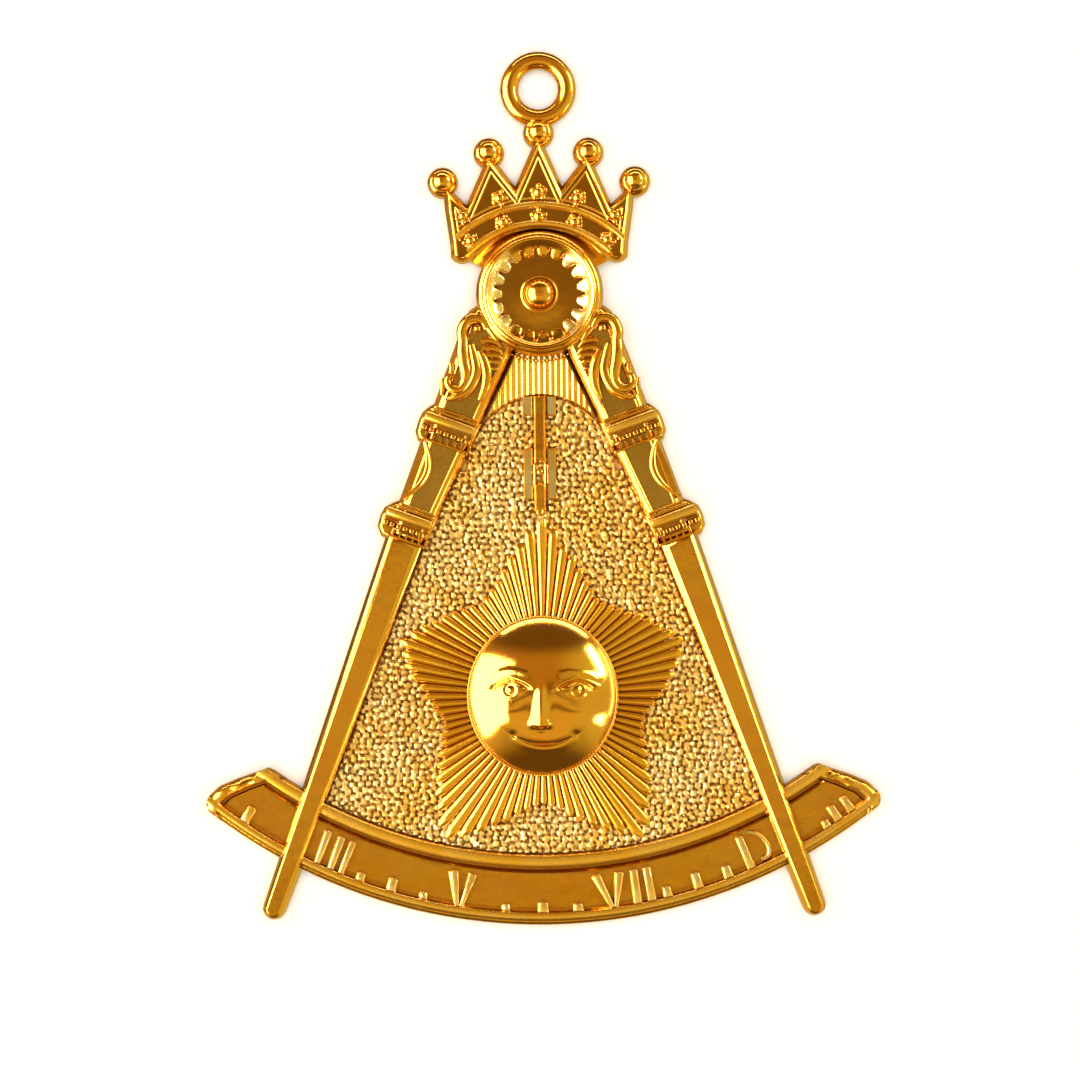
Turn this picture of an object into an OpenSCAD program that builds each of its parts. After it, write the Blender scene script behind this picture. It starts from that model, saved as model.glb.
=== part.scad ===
// Collar jewel: crowned compasses opened on a graduated arc, with a rayed sun on a plate between
// the legs. It lies on its flat back: X to the right, Y towards the suspension ring, Z out of the
// face. Lengths are in millimetres.

/* [Fit and edges] */
// Clearance between pieces that seat on each other
seat_gap = 0.05; // [0.03:0.01:0.08]
// Width of the sloping skirt around an outer edge
skirt_w = 0.45; // [0.3:0.05:0.5]
// Height of an outer edge, below its sloping skirt
edge_h = 1.1; // [0.9:0.1:1.2]
// How far the field plate reaches under the pieces around it
ledge_w = 0.7; // [0.5:0.05:0.9]

/* [Suspension ring] */
// Radius of the hole in the suspension ring
ring_bore_r = 2.0; // [1.7:0.05:2.3]
// Width of the ring between its hole and its outer edge
ring_w = 1.75; // [1.5:0.05:2]
// Thickness of the ring from back to front
ring_t = 2.0; // [1.8:0.1:2.4]
// Height of the straight wall inside the ring's hole
ring_land = 0.8; // [0.6:0.05:1]
// Width of the neck under the ring
neck_w = 1.3; // [1.1:0.05:1.5]
// Radius of the peg that holds the ring in the crown
peg_r = 0.45; // [0.35:0.05:0.5]
// Length of that peg inside the crown
peg_l = 1.4; // [1:0.1:1.8]

/* [Crown] */
// Outer radius of the crown's curved band
band_r = 12.2; // [11.6:0.1:12.8]
// Width of that band
band_w = 2.6; // [2.3:0.1:2.8]
// Half of the angle that the band covers
band_angle = 51.5; // [47:0.5:53]
// Height of the middle spire above the band
spire_h = 7.1; // [6.5:0.1:8]
// Thickness of the crown's plate
crown_t = 1.9; // [1.7:0.1:2.2]
// Radius of the pearl on each spire
pearl_r = 1.05; // [0.9:0.05:1.15]
// Radius of the small gems on the crown
gem_r = 0.45; // [0.35:0.05:0.5]
// Width of the raised lines that edge the crown
line_w = 0.5; // [0.4:0.02:0.6]
// Height of those lines above the crown's plate
line_h = 0.4; // [0.3:0.05:0.5]

/* [Compass head] */
// Outer radius of the compass head
head_r = 6.3; // [5.9:0.1:6.6]
// Height of the head's rim above the back
head_h = 3.4; // [3.1:0.1:3.8]
// Width of the head's rounded rim
head_rim_w = 0.8; // [0.6:0.05:1]
// Height of the dish floor above the back
dish_z = 2.2; // [2:0.1:2.4]
// Radius of the round boss in the dish
boss_r = 1.5; // [1.2:0.1:1.8]
// Number of teeth around the dish floor
tooth_count = 20; // [16:1:24]
// Width of the sloping wall between the rim and the teeth
wall_w = 1.3; // [1.1:0.1:1.5]
// Height of the teeth above the dish floor
tooth_h = 0.35; // [0.25:0.05:0.45]
// Radius of the hub that the laps close around
hub_r = 3.0; // [2.6:0.1:3.4]
// Thickness of the laps under the head
lap_t = 1.4; // [1.2:0.1:1.6]

/* [Compass legs] */
// Angle of each leg from the centre line
leg_angle = 20.2; // [18.5:0.1:21.5]
// Distance of a leg's axis from the centre of the head
leg_offset = 4.2; // [4:0.05:4.4]
// Length of a leg from the head's centre to its tip
leg_l = 67.6; // [65:0.2:69]
// Thickness of a leg
leg_t = 3.0; // [2.8:0.1:3.3]
// Width of the leg's upper part outside its axis
shank_out = 2.0; // [1.8:0.05:2.2]
// Width of the leg's upper part inside its axis, beside the head
shank_in = 4.0; // [3.6:0.1:4.4]
// Width of the blade under the lower collar
blade_w = 4.2; // [3.8:0.1:4.5]
// Width of the blade at its tip
tip_w = 2.3; // [2:0.1:2.6]
// Distance from the head's centre to the upper collar
collar_1 = 13.9; // [13.5:0.1:14.3]
// Distance from the head's centre to the lower collar
collar_2 = 24.1; // [23.6:0.1:24.6]
// Length of each collar along the leg
collar_l = 3.9; // [3.6:0.1:4.1]
// How far the upper collar stands out from the axis
collar_1_out = 2.9; // [2.6:0.05:3.1]
// How far the lower collar stands out from the axis
collar_2_out = 3.3; // [3:0.05:3.5]
// Radius of the half-round moulding on a collar
moulding_r = 0.5; // [0.4:0.02:0.55]
// Spacing of the dentils on a collar
dentil_pitch = 0.7; // [0.6:0.02:0.8]
// Size of each dentil
dentil_w = 0.42; // [0.35:0.01:0.45]
// Height of the dentils
dentil_h = 0.25; // [0.2:0.05:0.35]
// Depth of the scooped panel on the shaft
scoop_t = 0.35; // [0.25:0.05:0.5]
// Radius of the thickest scroll
scroll_r = 0.5; // [0.4:0.02:0.55]

/* [Arc scale] */
// Outer radius of the arc
arc_r = 53.8; // [52.8:0.1:54.8]
// Width of the arc between its edges
arc_w = 7.1; // [6.6:0.1:7.5]
// Distance from the head's centre down to the arc's centre
arc_drop = 9; // [8.5:0.1:9.5]
// Half of the angle that the arc covers at its outer edge
arc_angle = 39.2; // [38.5:0.1:40.5]
// Height of the arc's rims above the back
rim_z = 2.1; // [2:0.05:2.3]
// Height of the arc's channel floor above the back
floor_z = 1.6; // [1.5:0.05:1.8]
// Width of the arc's inner rim
inner_rim_w = 1.2; // [1:0.05:1.3]
// Width of the arc's outer rim, without its skirt
outer_rim_w = 0.8; // [0.7:0.05:0.9]
// Height of the numerals and ticks above the channel floor
figure_h = 0.35; // [0.25:0.05:0.4]
// Width of a numeral's strokes
stroke_w = 0.5; // [0.4:0.02:0.55]
// Length of the numerals across the channel
figure_l = 3.1; // [2.8:0.1:3.4]

/* [Field plate] */
// Thickness of the field plate
plate_t = 1.2; // [1.1:0.05:1.3]
// Radius of the arch at the top of the pebbled field
arch_r = 7.5; // [7.1:0.1:8]
// Distance from the head's centre down to the top of that arch
arch_drop = 10.1; // [9.8:0.1:10.4]
// Height of the reeded band above the plate
reed_h = 0.6; // [0.5:0.05:0.7]
// Spacing of the reeds
reed_pitch = 0.48; // [0.44:0.01:0.52]

/* [Star link] */
// Width of the upright bar
link_w = 1.1; // [0.9:0.05:1.3]
// Height of the bar above the plate
link_h = 0.7; // [0.6:0.05:0.9]
// Width of each side block
block_w = 0.9; // [0.7:0.05:1]
// Height of the side blocks above the plate
block_h = 0.3; // [0.2:0.05:0.4]

/* [Ray star] */
// Height of the sun's centre above the inner edge of the arc
sun_rise = 15.8; // [15.4:0.1:16.4]
// Least clearance between the star's tips and the legs or the arc
star_gap = 0.3; // [0.1:0.05:0.6]
// Number of rays around the star
ray_count = 84; // [60:2:96]
// Thickness of the star at the foot of its rays
ray_t = 1.2; // [1:0.05:1.4]
// Thickness of the star at its tips
ray_tip_t = 0.5; // [0.4:0.05:0.6]
// Depth of the grooves between the rays
groove_t = 0.3; // [0.2:0.05:0.35]

/* [Sun face] */
// Half of the width of the sun's dome
sun_r = 7.2; // [6.8:0.1:7.6]
// Height of the dome's oval over its width
sun_oval = 1.06; // [1:0.01:1.1]
// Height of the dome above the star
dome_h = 2.9; // [2.6:0.1:3.2]
// Width of the fine rim around the dome
sun_rim_w = 0.3; // [0.2:0.05:0.35]
// Height of that rim
sun_rim_h = 0.35; // [0.25:0.05:0.45]
// Distance between the centres of the eyes
eye_gap = 6.5; // [6.1:0.1:6.9]
// Length of the nose
nose_l = 4.4; // [4:0.1:4.8]
// Width of the mouth
mouth_w = 5.8; // [5.2:0.1:6.4]
// Height of the raised brows, lids and lips
feature_h = 0.35; // [0.25:0.01:0.4]

/* [Hidden] */
$fn = 48;

gold = [0.87, 0.64, 0.20];
bright_gold = [0.93, 0.72, 0.26];
pale_gold = [0.86, 0.72, 0.40];

// Roundness of the swept tubes, and how far a raised form sinks into the face below it
tube_sides = 8;
sink = 0.15;
// Distance past an outline that a cutting shape runs
over = 1;

// Crown: share of the band's half angle, and share of the middle spire's height
crown_side = [[0.905, 0], [0.757, 0.37]];
spires = [[0.652, 0.72], [0.31, 0.82]];
crown_valleys = [[0.592, 0.28], [0.184, 0.28]];
// Gems: share of the band's half angle, on the band and at the feet of the spires
band_gems = [-0.75, -0.37, 0, 0.37, 0.75];
spire_gems = [-0.67, -0.33, 0, 0.33, 0.67];
// Share of the band's radius at which the gems of the spires sit
spire_gem_share = 1.09;
// Half of the angle of the web between the crown and the head, about the band's centre
web_angle = 42;

// Collar edge: share of the collar's length, and share of its reach past the shank
collar_edge = [[0, 0.1], [0.27, 0.9], [0.5, 1], [0.8, 0.92], [1, 0.35]];

// Scrollwork: share of the scrolled length along the leg, share of the shank's outer width
// across it, and share of the thickest scroll's radius
scrolls = [
    [[0.04, -0.24, 0.6], [0.03, 0.42, 0.7], [0.17, 0.76, 0.8], [0.37, 0.55, 0.8],
     [0.56, 0.17, 0.8], [0.67, -0.15, 0.4]],
    [[0.38, 0.11, 0.5], [0.56, -0.35, 0.9], [0.68, -0.48, 1], [0.81, -0.27, 0.9],
     [0.86, 0.22, 0.8], [0.84, 0.6, 0.5]],
    [[0.34, -0.2, 0.5], [0.5, -0.68, 0.9], [0.66, -1.1, 0.9], [0.83, -1.22, 0.4]],
    [[0.32, -0.62, 0.5], [0.26, -1.1, 0.7], [0.24, -1.55, 0.4]],
    [[0.41, -0.78, 0.5], [0.37, -1.15, 0.7], [0.36, -1.5, 0.4]],
    [[0.5, -0.95, 0.5], [0.48, -1.25, 0.6], [0.48, -1.48, 0.4]],
    [[0.5, 0.4, 0.3], [0.58, 0.6, 0.6], [0.67, 0.66, 0.4]],
    [[0.62, 0.22, 0.3], [0.71, 0.46, 0.6], [0.77, 0.6, 0.4]]
];
volute = [0.17, 0.16, 0.9];

// Wing ends of the arc, from the outer edge in: share of the arc's width from its inner edge, and
// share of its half angle
wing_end = [[1, 0.99], [0.82, 1.003], [0.65, 0.998], [0.4, 0.97], [0.02, 0.92], [0, 0.893]];
// Numerals: share of the angle at which a leg crosses the arc, and the strokes of each numeral as
// [share of the numeral's length across at its top, the same at its foot]
numerals = [
    [-0.85, [[-0.5, -0.5], [0, 0], [0.5, 0.5]]],
    [-0.335, [[-0.36, 0], [0.36, 0]]],
    [0.335, [[-0.78, -0.48], [-0.18, -0.48], [0.22, 0.22], [0.62, 0.62]]],
    [0.86, [[-0.62, -0.62], [-0.22, 0.5], [0.5, -0.22]]]
];
// Ticks: share of the same angle, and share of a numeral's length
ticks = [
    [-0.73, 0.3], [-0.59, 0.55], [-0.46, 0.3], [-0.14, 0.3], [0, 0.45], [0.14, 0.3],
    [0.47, 0.3], [0.6, 0.55], [0.73, 0.3], [-1.21, 0.6], [1.14, 0.3], [1.19, 0.6], [1.25, 0.6]
];

// Star link: shares of the run from the arch to the star's tip at which each piece of the bar and
// each pair of blocks starts and ends, and where the ball sits
link_bars = [[0.02, 0.56], [0.8, 0.97]];
link_blocks = [[0.02, 0.2], [0.45, 0.88]];
link_ball = 0.68;

// Tips and valleys of the star in turn: angle from the top, and share of the top tip's distance
star_rows = [[0, 1], [32, 0.62], [69.5, 0.86], [105, 0.58], [145, 0.98], [180, 0.6]];

// Rows of the star's side tips and lower tips
side_tip = 2;
low_tip = 4;

ring_r = ring_bore_r + ring_w;
crown_drop = head_r + 2 * seat_gap + band_w - band_r;
crown_apex = crown_y(band_r + spire_h);
ring_y = crown_apex + pearl_r + ring_r - skirt_w;
arc_in_r = arc_r - arc_w;
top_y = ring_y + ring_r;
bottom_y = -arc_drop - arc_r;
middle_y = (top_y + bottom_y) / 2;

knee = collar_2 + collar_l;
scroll_start = head_r - over * 2.5;
scroll_l = collar_1 - scroll_start;
lobe_r = pearl_r + skirt_w;

sun_drop = arc_drop + arc_in_r - sun_rise;
star_r = min(reach_to_leg(star_rows[side_tip]), reach_to_arc(star_rows[low_tip]));
arch_centre = arch_drop + arch_r;
star_z = plate_t + seat_gap;
sun_z = star_z + ray_t + seat_gap;
foot_r = sun_r + sun_rim_w;

// Point at a radius and an angle from +Y, turning towards +X, about the crown band's centre
function crown_y(r) = crown_drop + r;
function crown_point(r, a) = [r * sin(a), crown_drop + r * cos(a)];
// Point at a radius and an angle from -Y, turning towards +X, about the arc's centre
function arc_point(r, a) = [r * sin(a), -arc_drop - r * cos(a)];
// Point of the right leg: distance down its axis, and distance outside it
function leg_point(u, v) = [
    (leg_offset + v) * cos(leg_angle) + u * sin(leg_angle),
    (leg_offset + v) * sin(leg_angle) - u * cos(leg_angle)
];
// Width of a leg inside its axis
function leg_in(u) = u < knee
    ? shank_in + (blade_w / 2 - shank_in) * (u - head_r) / (knee - head_r)
    : blade_half(u);
function blade_half(u) = (blade_w + (tip_w - blade_w) * (u - knee) / (leg_l - knee)) / 2;
// Distance down a leg's axis at which it meets a circle about the arc's centre
function leg_meets(r) = let (
    w = leg_point(0, 0) + [0, arc_drop],
    d = [sin(leg_angle), -cos(leg_angle)]
) sqrt((w * d) ^ 2 - w * w + r * r) - w * d;
function angle_of(p) = atan2(p.x, -p.y - arc_drop);
cross_angle = angle_of(leg_point(leg_meets(arc_r - arc_w / 2), 0));

function outward(p, q) = let (d = q - p) [d.y, -d.x] / norm(d);
// A counterclockwise outline, moved in by a distance
function inset(points, distance) = let (n = len(points)) [
    for (i = [0:n - 1])
        let (
            m = outward(points[(i + n - 1) % n], points[i]),
            k = outward(points[i], points[(i + 1) % n])
        ) points[i] - distance * (m + k) / (1 + m * k)
];
function mirrored(points) = [for (i = [len(points) - 1:-1:0]) [-points[i].x, points[i].y]];

// Solid of an outline with an upright edge and a slope up to its flat top
module drafted(points, edge, top, slope) {
    n = len(points);
    levels = [[points, 0], [points, edge], [inset(points, slope), top]];
    polyhedron(
        [for (level = levels, p = level[0]) [p.x, p.y, level[1]]],
        concat(
            [[for (i = [0:n - 1]) i], [for (i = [n - 1:-1:0]) 2 * n + i]],
            [for (k = [0:1], i = [0:n - 1])
                [k * n + i, (k + 1) * n + i, (k + 1) * n + (i + 1) % n, k * n + (i + 1) % n]]
        )
    );
}

// Tube through rows of [x, y, radius], half above a height
module tube(rows, z) {
    n = len(rows);
    function heading(i) = rows[min(i + 1, n - 1)] - rows[max(i - 1, 0)];
    polyhedron(
        [for (i = [0:n - 1])
            let (d = heading(i), s = [d.y, -d.x] / norm([d.x, d.y]), r = rows[i].z)
                for (k = [0:tube_sides - 1])
                    let (a = 360 * k / tube_sides)
                        [rows[i].x + s.x * r * cos(a), rows[i].y + s.y * r * cos(a), z + r * sin(a)]],
        concat(
            [[for (k = [tube_sides - 1:-1:0]) k],
             [for (k = [0:tube_sides - 1]) (n - 1) * tube_sides + k]],
            [for (i = [0:n - 2], k = [0:tube_sides - 1])
                let (j = (k + 1) % tube_sides, m = i * tube_sides, l = m + tube_sides)
                    [m + k, m + j, l + j, l + k]]
        )
    );
}

// Suspension ring

module suspension_ring() {
    crest = ring_bore_r + ring_w * 0.45;
    color(bright_gold)
        difference() {
            union() {
                translate([0, ring_y, 0])
                    rotate_extrude()
                        polygon([
                            [ring_bore_r, ring_t / 2 - ring_land / 2],
                            [ring_bore_r + ring_w * 0.2, 0],
                            [ring_r, 0],
                            [ring_r, edge_h * 0.7],
                            [ring_r - ring_w * 0.25, ring_t * 0.8],
                            [crest, ring_t],
                            [ring_bore_r + ring_w * 0.15, ring_t * 0.85],
                            [ring_bore_r, ring_t / 2 + ring_land / 2]
                        ]);
                translate([-neck_w / 2, crown_apex, 0])
                    cube([neck_w, ring_y - crown_apex - crest, ring_t]);
            }
            translate([0, crown_apex, -over])
                cylinder(r = lobe_r + seat_gap, h = ring_t + 2 * over);
            translate([0, ring_y, -over])
                cylinder(r = ring_bore_r, h = ring_t + 2 * over);
        }
    color(bright_gold)
        translate([0, crown_apex + lobe_r - peg_l, ring_t / 2])
            rotate([-90, 0, 0])
                cylinder(r = peg_r, h = peg_l + skirt_w);
}

// Crown

function spire_point(row) = crown_point(band_r + row[1] * spire_h, row[0] * band_angle);
function crown_half() = [
    for (row = [crown_side[0], crown_side[1], spires[0], crown_valleys[0], spires[1],
                crown_valleys[1]])
        spire_point(row)
];
function crown_foot() = [
    for (k = [-6:6]) crown_point(band_r - band_w, band_angle * k / 6)
];
function crown_outline() = concat(
    crown_foot(), crown_half(), [spire_point([0, 1])], mirrored(crown_half())
);
function pearl_places() = [
    for (row = [spires[0], spires[1], [0, 1], [-spires[1][0], spires[1][1]],
                [-spires[0][0], spires[0][1]]])
        spire_point(row)
];

// Pockets inside the crown's raised lines: the spires' pocket and the band's pocket
module crown_pockets() {
    inside = inset(crown_outline(), skirt_w + line_w);
    translate([0, 0, crown_t])
        linear_extrude(over)
            difference() {
                polygon(inside);
                translate([0, crown_drop])
                    circle(r = band_r);
            }
    translate([0, 0, crown_t])
        linear_extrude(over)
            intersection() {
                polygon(inside);
                translate([0, crown_drop])
                    circle(r = band_r - line_w);
            }
}

module crown_gems() {
    for (a = band_gems * band_angle) {
        p = crown_point(band_r - band_w / 2, a);
        translate([p.x, p.y, crown_t])
            sphere(r = gem_r);
    }
    for (a = spire_gems * band_angle) {
        p = crown_point(band_r * spire_gem_share, a);
        translate([p.x, p.y, crown_t])
            sphere(r = gem_r);
    }
}

// Web that fills the space between the band and the head, and laps under the head to its hub
module crown_lap() {
    difference() {
        translate([0, 0, sink])
            linear_extrude(lap_t - sink)
                polygon(concat(
                    [[0, 0]],
                    [for (k = [-3:3]) crown_point(band_r - band_w / 2, -web_angle * k / 3)]
                ));
        translate([0, 0, -over])
            cylinder(r = hub_r + seat_gap, h = lap_t + 2 * over);
    }
}

module crown() {
    color(bright_gold)
        difference() {
            union() {
                difference() {
                    linear_extrude(crown_t + line_h)
                        polygon(inset(crown_outline(), skirt_w));
                    crown_pockets();
                }
                linear_extrude(edge_h)
                    polygon(crown_outline());
                crown_lap();
                crown_gems();
                for (p = pearl_places())
                    translate([p.x, p.y, 0]) {
                        translate([0, 0, sink])
                            cylinder(r = lobe_r, h = edge_h - sink);
                        translate([0, 0, edge_h])
                            cylinder(r1 = lobe_r, r2 = pearl_r * 0.85, h = crown_t - edge_h + line_h / 2);
                        translate([0, 0, crown_t + line_h * 0.7])
                            sphere(r = pearl_r);
                    }
            }
            translate([0, crown_apex + lobe_r - peg_l - seat_gap, ring_t / 2])
                rotate([-90, 0, 0])
                    cylinder(r = peg_r + seat_gap, h = peg_l + over);
        }
}

// Compass head

module compass_head() {
    rim_out = head_r - skirt_w;
    dish_r = rim_out - head_rim_w;
    floor_r = dish_r - wall_w;
    disc_z = lap_t + seat_gap;
    color(gold)
        union() {
            cylinder(r = hub_r, h = disc_z + sink);
            difference() {
                rotate_extrude()
                    polygon([
                        [0, disc_z], [head_r, disc_z], [head_r, disc_z + edge_h / 2],
                        [rim_out, head_h - head_rim_w / 2], [rim_out - head_rim_w * 0.3, head_h],
                        [dish_r + head_rim_w * 0.2, head_h], [dish_r, head_h - head_rim_w / 2],
                        [floor_r, dish_z + tooth_h], [floor_r, dish_z], [0, dish_z]
                    ]);
                for (k = [0:tooth_count - 1])
                    rotate([0, 0, 360 * (k + 0.5) / tooth_count])
                        translate([floor_r, 0, dish_z])
                            cylinder(r = 2 * floor_r / tooth_count, h = head_h);
            }
            translate([0, 0, dish_z])
                cylinder(r1 = boss_r * 1.15, r2 = boss_r * 0.95, h = tooth_h);
            translate([0, 0, dish_z + tooth_h / 2])
                sphere(r = boss_r);
        }
}

// Compass legs, drawn with the leg's axis along -Y and its outer side towards +X

function shank_outline() = [
    [-shank_in, -head_r + over], [-blade_w / 2, -knee], [blade_w / 2, -knee],
    [shank_out, -knee + collar_l / 2], [shank_out, -head_r * 0.75],
    [shank_out * 0.7, -head_r * 0.63], [0, -head_r * 0.55]
];
function blade_outline() = let (r = tip_w / 2) concat(
    [[-blade_w / 2, -knee]],
    [for (k = [0:6]) [-r * cos(30 * k), -leg_l + r - r * sin(30 * k)]],
    [[blade_w / 2, -knee]]
);
function collar_outline(start, reach) = concat(
    [[-leg_in(start), -start], [-leg_in(start + collar_l), -start - collar_l]],
    [for (i = [len(collar_edge) - 1:-1:0])
        [shank_out + (reach - shank_out) * collar_edge[i][1], -start - collar_l * collar_edge[i][0]]]
);

// Half-round bar across a collar
module moulding(from, to, y, r) {
    translate([from, y, leg_t - sink])
        rotate([0, 90, 0])
            cylinder(r = r, h = to - from);
}

module leg_collar(start, reach) {
    inner = -leg_in(start + collar_l / 2) + skirt_w;
    outer = (shank_out + reach) / 2 - skirt_w / 2;
    fillet_out = shank_out - skirt_w;
    moulding_y = -start - collar_l * 0.3;
    dentils = floor((fillet_out - inner) / dentil_pitch);
    drafted(collar_outline(start, reach), edge_h, leg_t, skirt_w);
    moulding(inner, fillet_out, -start - collar_l * 0.1, moulding_r / 2);
    moulding(inner, outer, moulding_y, moulding_r);
    for (row = [0, 1], k = [0:dentils])
        translate([inner + k * dentil_pitch - dentil_w / 2,
                   moulding_y - moulding_r - dentil_w * 1.3 - row * dentil_pitch, leg_t - sink])
            cube([dentil_w, dentil_w, sink + dentil_h]);
}

module leg_scrolls() {
    for (scroll = scrolls)
        tube([for (row = scroll)
                 [row[1] * shank_out, -scroll_start - row[0] * scroll_l, row[2] * scroll_r]],
             leg_t - sink);
    translate([volute[1] * shank_out, -scroll_start - volute[0] * scroll_l, leg_t - sink])
        cylinder(r1 = volute[2] * scroll_r, r2 = volute[2] * scroll_r / 2, h = scroll_r);
}

module shaft_scoop() {
    start = collar_1 + collar_l;
    l = collar_2 - start;
    depth = shank_out * 0.7;
    r = (l * l / 4 + depth * depth) / (2 * depth);
    translate([shank_out - depth + r, -start - l / 2, leg_t - scoop_t])
        cylinder(r = r, h = scoop_t + over);
}

// Part of the right leg that runs under the head, around its hub
module leg_lap() {
    linear_extrude(lap_t)
        intersection() {
            difference() {
                circle(r = head_r - skirt_w);
                circle(r = hub_r + seat_gap);
            }
            translate([seat_gap, -head_r])
                square([head_r, head_r * 0.95]);
        }
}

module placed_leg() {
    rotate([0, 0, leg_angle])
        translate([leg_offset, 0, 0])
            children();
}

module leg() {
    difference() {
        union() {
            difference() {
                placed_leg() {
                    difference() {
                        drafted(shank_outline(), edge_h, leg_t, skirt_w);
                        shaft_scoop();
                    }
                    drafted(blade_outline(), edge_h, leg_t, skirt_w);
                    leg_collar(collar_1, collar_1_out);
                    leg_collar(collar_2, collar_2_out);
                    leg_scrolls();
                }
                translate([0, 0, lap_t])
                    cylinder(r = head_r + seat_gap, h = leg_t);
            }
            leg_lap();
        }
        translate([0, 0, -over])
            linear_extrude(over + plate_t + seat_gap)
                field_outline(seat_gap);
        translate([0, 0, -over])
            linear_extrude(over + rim_z + seat_gap)
                arc_outline(seat_gap);
    }
}

module right_leg() {
    color(gold)
        leg();
}

module left_leg() {
    color(gold)
        mirror([1, 0, 0])
            leg();
}

// Arc scale

// Outline between the arc's two wing ends, past its outer edge
function wing_outline(grow) = let (
    far = arc_r * 1.3,
    spread = asin(grow / arc_r),
    right = [for (row = wing_end)
        arc_point(arc_in_r + (arc_w + (row[0] == 1 ? over : 0)) * row[0],
                  arc_angle * row[1] + spread)]
) concat(
    [arc_point(0, 0)], mirrored(right), [for (k = [-2:2]) arc_point(far, arc_angle * k / 2)], right
);

module arc_ring(inner, outer) {
    translate([0, -arc_drop])
        difference() {
            circle(r = outer, $fn = 180);
            circle(r = inner, $fn = 180);
        }
}

module arc_outline(grow) {
    intersection() {
        arc_ring(arc_in_r - grow, arc_r + grow);
        polygon(wing_outline(grow));
    }
}

// Stroke between two points, with round ends
module stroke(p, q, w) {
    d = q - p;
    translate([p.x, p.y])
        rotate(atan2(d.y, d.x)) {
            translate([0, -w / 2])
                square([norm(d), w]);
            circle(r = w / 2);
            translate([norm(d), 0])
                circle(r = w / 2);
        }
}

module arc_figures() {
    foot_r = arc_r - skirt_w - outer_rim_w;
    for (numeral = numerals, s = numeral[1]) {
        a = numeral[0] * cross_angle;
        top = arc_point(foot_r - figure_l, a);
        foot = arc_point(foot_r, a);
        along = [cos(a), sin(a)] * figure_l / 2;
        stroke(top + along * s[0], foot + along * s[1], stroke_w);
    }
    for (tick = ticks) {
        a = tick[0] * cross_angle;
        stroke(arc_point(foot_r - figure_l * tick[1], a), arc_point(foot_r, a), stroke_w);
    }
}

module arc_scale() {
    color(gold)
        difference() {
            union() {
                linear_extrude(floor_z)
                    arc_outline(0);
                intersection() {
                    translate([0, -arc_drop, 0])
                        rotate_extrude($fn = 180)
                            polygon([
                                [arc_in_r, 0], [arc_r, 0], [arc_r, edge_h],
                                [arc_r - skirt_w, rim_z - sink], [arc_r - skirt_w - sink, rim_z],
                                [arc_r - skirt_w - outer_rim_w, rim_z],
                                [arc_r - skirt_w - outer_rim_w, floor_z],
                                [arc_in_r + inner_rim_w, floor_z], [arc_in_r + inner_rim_w, rim_z],
                                [arc_in_r, rim_z]
                            ]);
                    linear_extrude(rim_z)
                        polygon(wing_outline(0));
                }
                linear_extrude(rim_z)
                    difference() {
                        arc_outline(0);
                        polygon(inset(wing_outline(0), inner_rim_w));
                    }
                linear_extrude(floor_z + figure_h)
                    intersection() {
                        arc_outline(0);
                        arc_figures();
                    }
            }
            translate([0, 0, -over])
                linear_extrude(over + plate_t + seat_gap)
                    field_outline(seat_gap);
        }
}

// Field plate

// Outline of the plate, which runs under the legs, the arc and the head by the ledge
module field_outline(grow) {
    last = leg_meets(arc_r);
    right = [for (u = [0, knee, last]) leg_point(u, -leg_in(u) + ledge_w + grow)];
    difference() {
        intersection() {
            polygon(concat(mirrored(right), right));
            arc_disc(arc_in_r + ledge_w + grow);
        }
        circle(r = head_r - ledge_w - grow);
    }
}

module arc_disc(r) {
    translate([0, -arc_drop])
        circle(r = r, $fn = 180);
}

module reeds() {
    count = floor(leg_point(arch_drop, -shank_in).x / reed_pitch) + 3;
    top = leg_point(head_r, -leg_in(head_r) - seat_gap);
    foot = leg_point(2 * collar_1, -leg_in(2 * collar_1) - seat_gap);
    intersection() {
        union() {
            translate([-head_r, -2 * head_r - arch_r, plate_t - sink])
                cube([2 * head_r, 2 * head_r + arch_r, sink + reed_h / 2]);
            for (k = [-count:count])
                translate([k * reed_pitch, -head_r / 2, plate_t + reed_h / 2])
                    rotate([90, 0, 0])
                        cylinder(r = reed_h / 2 * 0.98, h = arch_drop + arch_r);
        }
        linear_extrude(plate_t + reed_h + over)
            difference() {
                polygon([[-foot.x, foot.y], foot, top, [-top.x, top.y]]);
                circle(r = head_r + seat_gap);
                translate([0, -arch_centre])
                    circle(r = arch_r);
                translate([-head_r * 2, -2 * arch_centre - collar_1 + arch_drop * 0.3])
                    square([head_r * 4, 2 * arch_centre - arch_drop * 0.3 + collar_1 - arch_centre]);
            }
    }
}

module field_plate() {
    color(pale_gold)
        union() {
            linear_extrude(plate_t)
                field_outline(0);
            reeds();
        }
}

// Star link

module star_link() {
    run = sun_drop - star_r - arch_drop;
    module block(row, w, h) {
        translate([-w / 2, -arch_drop - row[1] * run, 0])
            cube([w, (row[1] - row[0]) * run, h]);
    }
    color(gold)
        translate([0, 0, star_z]) {
            block([link_bars[0][0], link_bars[1][1]], link_w / 2, link_h * 0.6);
            for (row = link_bars)
                block(row, link_w, link_h);
            for (row = link_blocks)
                block(row, link_w + 2 * block_w, block_h);
            translate([0, -arch_drop - link_ball * run, link_w / 2 + seat_gap])
                sphere(r = link_w / 2);
        }
}

// Ray star

function tip_step(row) = row[1] * [sin(row[0]), cos(row[0])];
// Size of the star at which one of its tips stands clear of a blade
function reach_to_leg(row) = let (
    p = leg_point(knee, -blade_w / 2),
    n = outward(leg_point(leg_l, -tip_w / 2), p)
) (n * (p + [0, sun_drop]) - star_gap) / (n * tip_step(row));
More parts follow.
